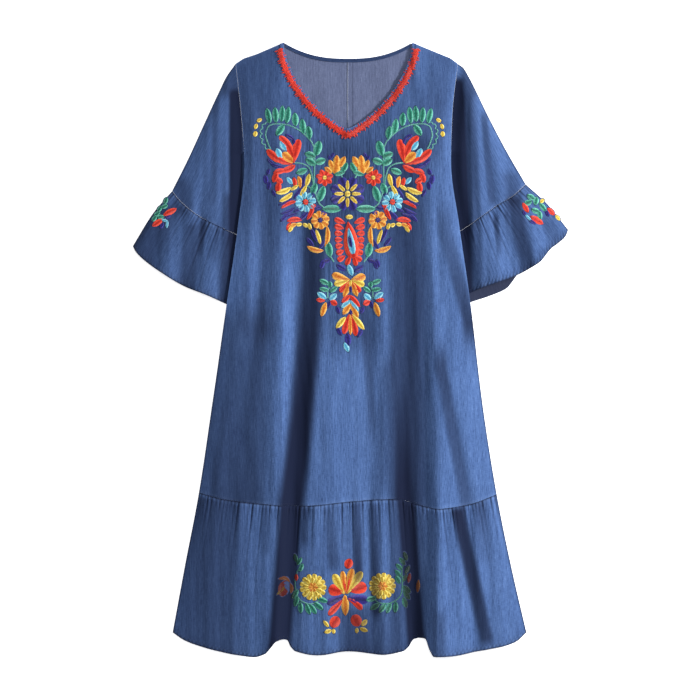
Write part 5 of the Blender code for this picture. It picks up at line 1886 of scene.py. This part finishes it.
hem = {
    "violet": list(HEM_VIOLET),
    "green": list(HEM_GREEN)
    + leaves_round(HEM_LEFT, LEFT_CRESCENT, 18, 8.5, 35)
    + leaves_round(HEM_RIGHT, RIGHT_CRESCENT, 18, 8.5, -35),
    "red": list(HEM_RED) + [Petal(-107, -382, 25, 17, 80, 0, OVAL)],
    "orange": list(HEM_ORANGE),
    "yellow": list(HEM_YELLOW) + ring(*HEM_LEFT, 13, 11, 21.5, 8) + ring(*HEM_RIGHT, 13, 11, 21.5, 8),
}
marigold_ground = disc(*HEM_LEFT, 17) + disc(*HEM_RIGHT, 17)
marigolds = {
    "yellow": ring(*HEM_LEFT, 9, 6, 15.5, 8.5, 15) + ring(*HEM_RIGHT, 9, 6, 15.5, 8.5, 15),
    "orange": ring(*HEM_LEFT, 6, 0.5, 8.5, 6) + ring(*HEM_RIGHT, 6, 0.5, 8.5, 6),
}
# The hem's threads share the front's painted shade.
hem_embroidery = embroider("hem", tier_height, hem, hollow=front_painted_shade)
hem_embroidery.append(
    satin("marigold_ground", tier_height, marigold_ground, "yellow", GROUND_RISE, front_painted_shade)
)
hem_embroidery += embroider("marigold", tier_height, marigolds, UPPER_RISE, front_painted_shade, with_painted_shadow=False)
hem_embroidery.append(satin_lines("hem_stems", tier_height, HEM_STEMS, 2.4, "mint", hollow=front_painted_shade))

# Ruffle embroidery: a small spray of leaves and red petals at the outer end of each sleeve ruffle.
# Its height comes from the ruffle's own surface.
LEFT_SPRAY = {
    "violet": [Petal(-292, 212, 10, 5, 30), Petal(-302, 198, 10, 6, 60)],
    "green": [
        Petal(-296, 238, 12, 7, 70),
        Petal(-298, 229, 12, 7, 20),
        Petal(-306, 225, 12, 7, 60),
        Petal(-310, 217, 12, 7, 30),
        Petal(-314, 210, 12, 7, 55),
        Petal(-304, 212, 12, 7, 5),
    ],
    "red": [Petal(-289, 220, 24, 9, 28), Petal(-309, 203, 20, 9, 215)],
    "blue": [Ray(-303, 208, -292, 205, 4.5), Ray(-293, 207, -294, 194, 4.5)],
}
RIGHT_SPRAY = {
    "violet": [Petal(278, 218, 10, 5, 120), Petal(291, 204, 12, 6, 150), Petal(315, 219, 12, 7, 110)],
    "green": [
        Petal(289, 244, 15, 9, 150),
        Petal(284, 235, 13, 9, 20),
        Petal(297, 238, 14, 9, 80),
        Petal(308, 228, 18, 8, -50),
        Petal(296, 222, 14, 9, 160),
        Petal(303, 215, 15, 8, 100),
    ],
    "red": [Petal(280, 227, 18, 8, -60), Petal(298, 207, 24, 10, -30), Petal(321, 221, 16, 8, -45)],
    "blue": [Petal(284, 211, 15, 4.5, -45)],
    "yellow": [Petal(307, 238, 9, 6, 45), Petal(332, 211, 11, 6, -50)],
}
NEAREST = 3


def over_grid(grid):
    """A height function from a ruffle's points: the mean of the nearest ones, weighted by closeness."""
    flat = grid.reshape(-1, 3)

    def height(x, y):
        gap = (x.reshape(-1, 1) - flat[:, 0]) ** 2 + (y.reshape(-1, 1) - flat[:, 1]) ** 2
        nearest = np.argpartition(gap, NEAREST, axis=1)[:, :NEAREST]
        weight = 1 / (np.take_along_axis(gap, nearest, axis=1) + 1e-9)
        mean = (weight * flat[nearest, 2]).sum(axis=1) / weight.sum(axis=1)
        return mean.reshape(x.shape)

    return height


ruffle_embroidery = [
    embroider(f"{side.name}_ruffle", over_grid(grid), spray)
    for side, grid, spray in ((LEFT, ruffle_grids[0], LEFT_SPRAY), (RIGHT, ruffle_grids[1], RIGHT_SPRAY))
]

# Neck trim: a braid of red thread sewn over the neck band's lower edge, with short thorns on both its sides.
# Its stitches slant across it, and the thorns lean and vary as hand guided ones do.
TRIM_FROM_EDGE = 0.0075
TRIM_HALF = 4.0
TRIM_LUMPS = 0.16
TRIM_LUMP_TURN = 1.15
TRIM_PITCH = 0.0026
TRIM_SLANT = 2.4
BRAID_STITCH_WIDTH = 4.0
BRAID_RISE = 0.0012
THORN_PITCH = 0.0052
THORN_FOOT = 2.2
THORN_REACH = 5.0
THORN_VARIES = 0.28
THORN_SWAY = 1.6
THORN_WIDTH = 2.1
THORN_BEND = 0.3
THORN_RISE = 0.0007
TRIM_TOP_Y = 0.4795
TRIM_POINT_DROP = 0.0040
TRIM_POINT_REACH = 0.013


def trim_stations(pitch):
    """Places in millimetres at even steps along the trim's middle line, and the ways along and out."""
    line = neck_line(TRIM_FROM_EDGE, NECK_SAMPLES)
    line = line[line[:, 1] < TRIM_TOP_Y]
    line[:, 1] -= TRIM_POINT_DROP * near(line[:, 0] - NECK_X, TRIM_POINT_REACH)
    length = length_along(line)
    line = at_lengths(line, length, np.linspace(0.0, length[-1], round(length[-1] / pitch)))
    way = unit(np.gradient(line, axis=0))
    return line / MM, way, np.stack([way[:, 1], -way[:, 0]], axis=-1)


middle, way, out = trim_stations(TRIM_PITCH)
lumps = 1 + TRIM_LUMPS * np.sin(TRIM_LUMP_TURN * np.arange(len(middle)))[:, None]
lean = TRIM_SLANT * way + TRIM_HALF * lumps * out
braid = []
for place, slant in zip(middle, lean):
    braid.append(Ray(*(place - slant), *(place + slant), BRAID_STITCH_WIDTH, 0, OVAL))
middle, way, out = trim_stations(THORN_PITCH)
thorns = []
for number, place in enumerate(middle):
    for side_sign in (-1, 1):
        sway = THORN_SWAY * np.sin(2.3 * number + side_sign)
        reach = THORN_REACH * (1 + THORN_VARIES * np.sin(1.7 * number + 2 * side_sign))
        foot = place + side_sign * THORN_FOOT * out[number]
        tip = place + side_sign * (THORN_FOOT + reach) * out[number] + sway * way[number]
        thorns.append(Ray(*foot, *tip, THORN_WIDTH, THORN_BEND * np.sin(number), LEAF))
neck_trim = [
    satin("neck_braid", trim_height, braid, "red", BRAID_RISE, grid=PLAIN_PAD),
    satin("neck_thorns", trim_height, thorns, "red", THORN_RISE, grid=SMALL_PAD),
]

# Seam and hem stitching: rows of pale blue thread at the tier seam, hems, cuffs, armholes and neck edge.
# Each stitch is a short raised pad on the cloth.
STITCH_PITCH = 0.0031
STITCH_LENGTH = 0.0022
STITCH_WIDTH = 0.0007
STITCH_RISE = 0.00045
STITCH_STEPS = 3
STITCH_COLUMNS = 3
SEAM_STITCH_INSET = 0.0022
ARMHOLE_STITCH_INSET = 0.0035
NECK_STITCH_INSET = 0.0022
HEM_STITCH_INSET = 0.0052
RUFFLE_STITCH_INSET = 0.0050
CUFF_STITCH_SHARE = 0.35
HEM_ROW_SHARE = 0.992


def dashes(path):
    """Short straight lines at even steps along a path of points."""
    length = length_along(path)
    starts = np.arange(0.5 * STITCH_PITCH, length[-1] - STITCH_LENGTH, STITCH_PITCH)
    at = starts[:, None] + STITCH_LENGTH * np.linspace(0.0, 1.0, STITCH_STEPS)
    return at_lengths(path, length, at)


def stitching(name, surface, paths, hollow=None):
    """Rows of running stitches along paths of points, as one piece."""
    lines = np.concatenate([dashes(path) for path in paths])
    half = np.full(lines.shape[:2], 0.5 * STITCH_WIDTH)
    material, slot = THREADS["denim"], "thread_denim"
    return raised_pads(name, surface, lines, half, STITCH_RISE, material, slot, STITCH_COLUMNS, hollow)


# The tier seam and armhole stitching share the front's painted shade.
seam_x = np.linspace(TIER_SEAM[0].x + 0.002, TIER_SEAM[-1].x - 0.002, 300)
tier_row = [np.stack([seam_x, tier_seam_y(seam_x) + SEAM_STITCH_INSET], axis=-1)]
body_stitching = [stitching("tier_seam_stitching", front_height, tier_row, front_painted_shade)]
armhole_y = np.linspace(SHOULDER_Y - 0.003, UNDERARM_Y + 0.004, 120)
armhole_rows = [
    np.stack([left_edge(armhole_y) + ARMHOLE_STITCH_INSET, armhole_y], axis=-1),
    np.stack([right_edge(armhole_y) - ARMHOLE_STITCH_INSET, armhole_y], axis=-1),
]
body_stitching.append(stitching("armhole_stitching", front_height, armhole_rows, front_painted_shade))
neck_row = [neck_line(NECK_STITCH_INSET, 600)[12:-12]]
body_stitching.append(stitching("neck_edge_stitching", trim_height, neck_row))
hem_x = np.linspace(FRONT_HEM[0].x + 0.004, FRONT_HEM[-1].x - 0.004, 500)
hem_row = [np.stack([HEM_ROW_SHARE * hem_x, tier_hem_y(hem_x) + HEM_STITCH_INSET], axis=-1)]
hem_embroidery.append(stitching("hem_stitching", tier_height, hem_row, front_painted_shade))


def sleeve_painted_shade(side):
    """A function of plan points for the painted shade on one side's sleeve and ruffle."""

    def hollow(x, y):
        return painted_shade_share(sleeve_light(side, np.stack([x, y], axis=-1)))

    return hollow


# The cuff and ruffle stitching share their sleeve's painted shade.
ruffle_stitching = []
for side, sleeve_grid, ruffle_grid in zip((LEFT, RIGHT), sleeve_grids, ruffle_grids):
    cuff_edge, above_cuff = sleeve_grid[-1, 3:-8, :2], sleeve_grid[-2, 3:-8, :2]
    cuff_row = above_cuff + CUFF_STITCH_SHARE * (cuff_edge - above_cuff)
    stitching(f"{side.name}_cuff_stitching", over_grid(sleeve_grid), [cuff_row], sleeve_painted_shade(side))
    hem_edge = ruffle_grid[-1, 4:-8, :2]
    ruffle_row = hem_edge + RUFFLE_STITCH_INSET * unit(ruffle_grid[-4, 4:-8, :2] - hem_edge)
    ruffle_stitching.append(
        stitching(f"{side.name}_ruffle_stitching", over_grid(ruffle_grid), [ruffle_row], sleeve_painted_shade(side))
    )

# Each ruffle with its embroidery and stitching: the embroidery's pieces are listed once more, and nothing is
# kept.
for ruffle, flowers, stitches in zip(ruffles, ruffle_embroidery, ruffle_stitching):
    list(flowers)
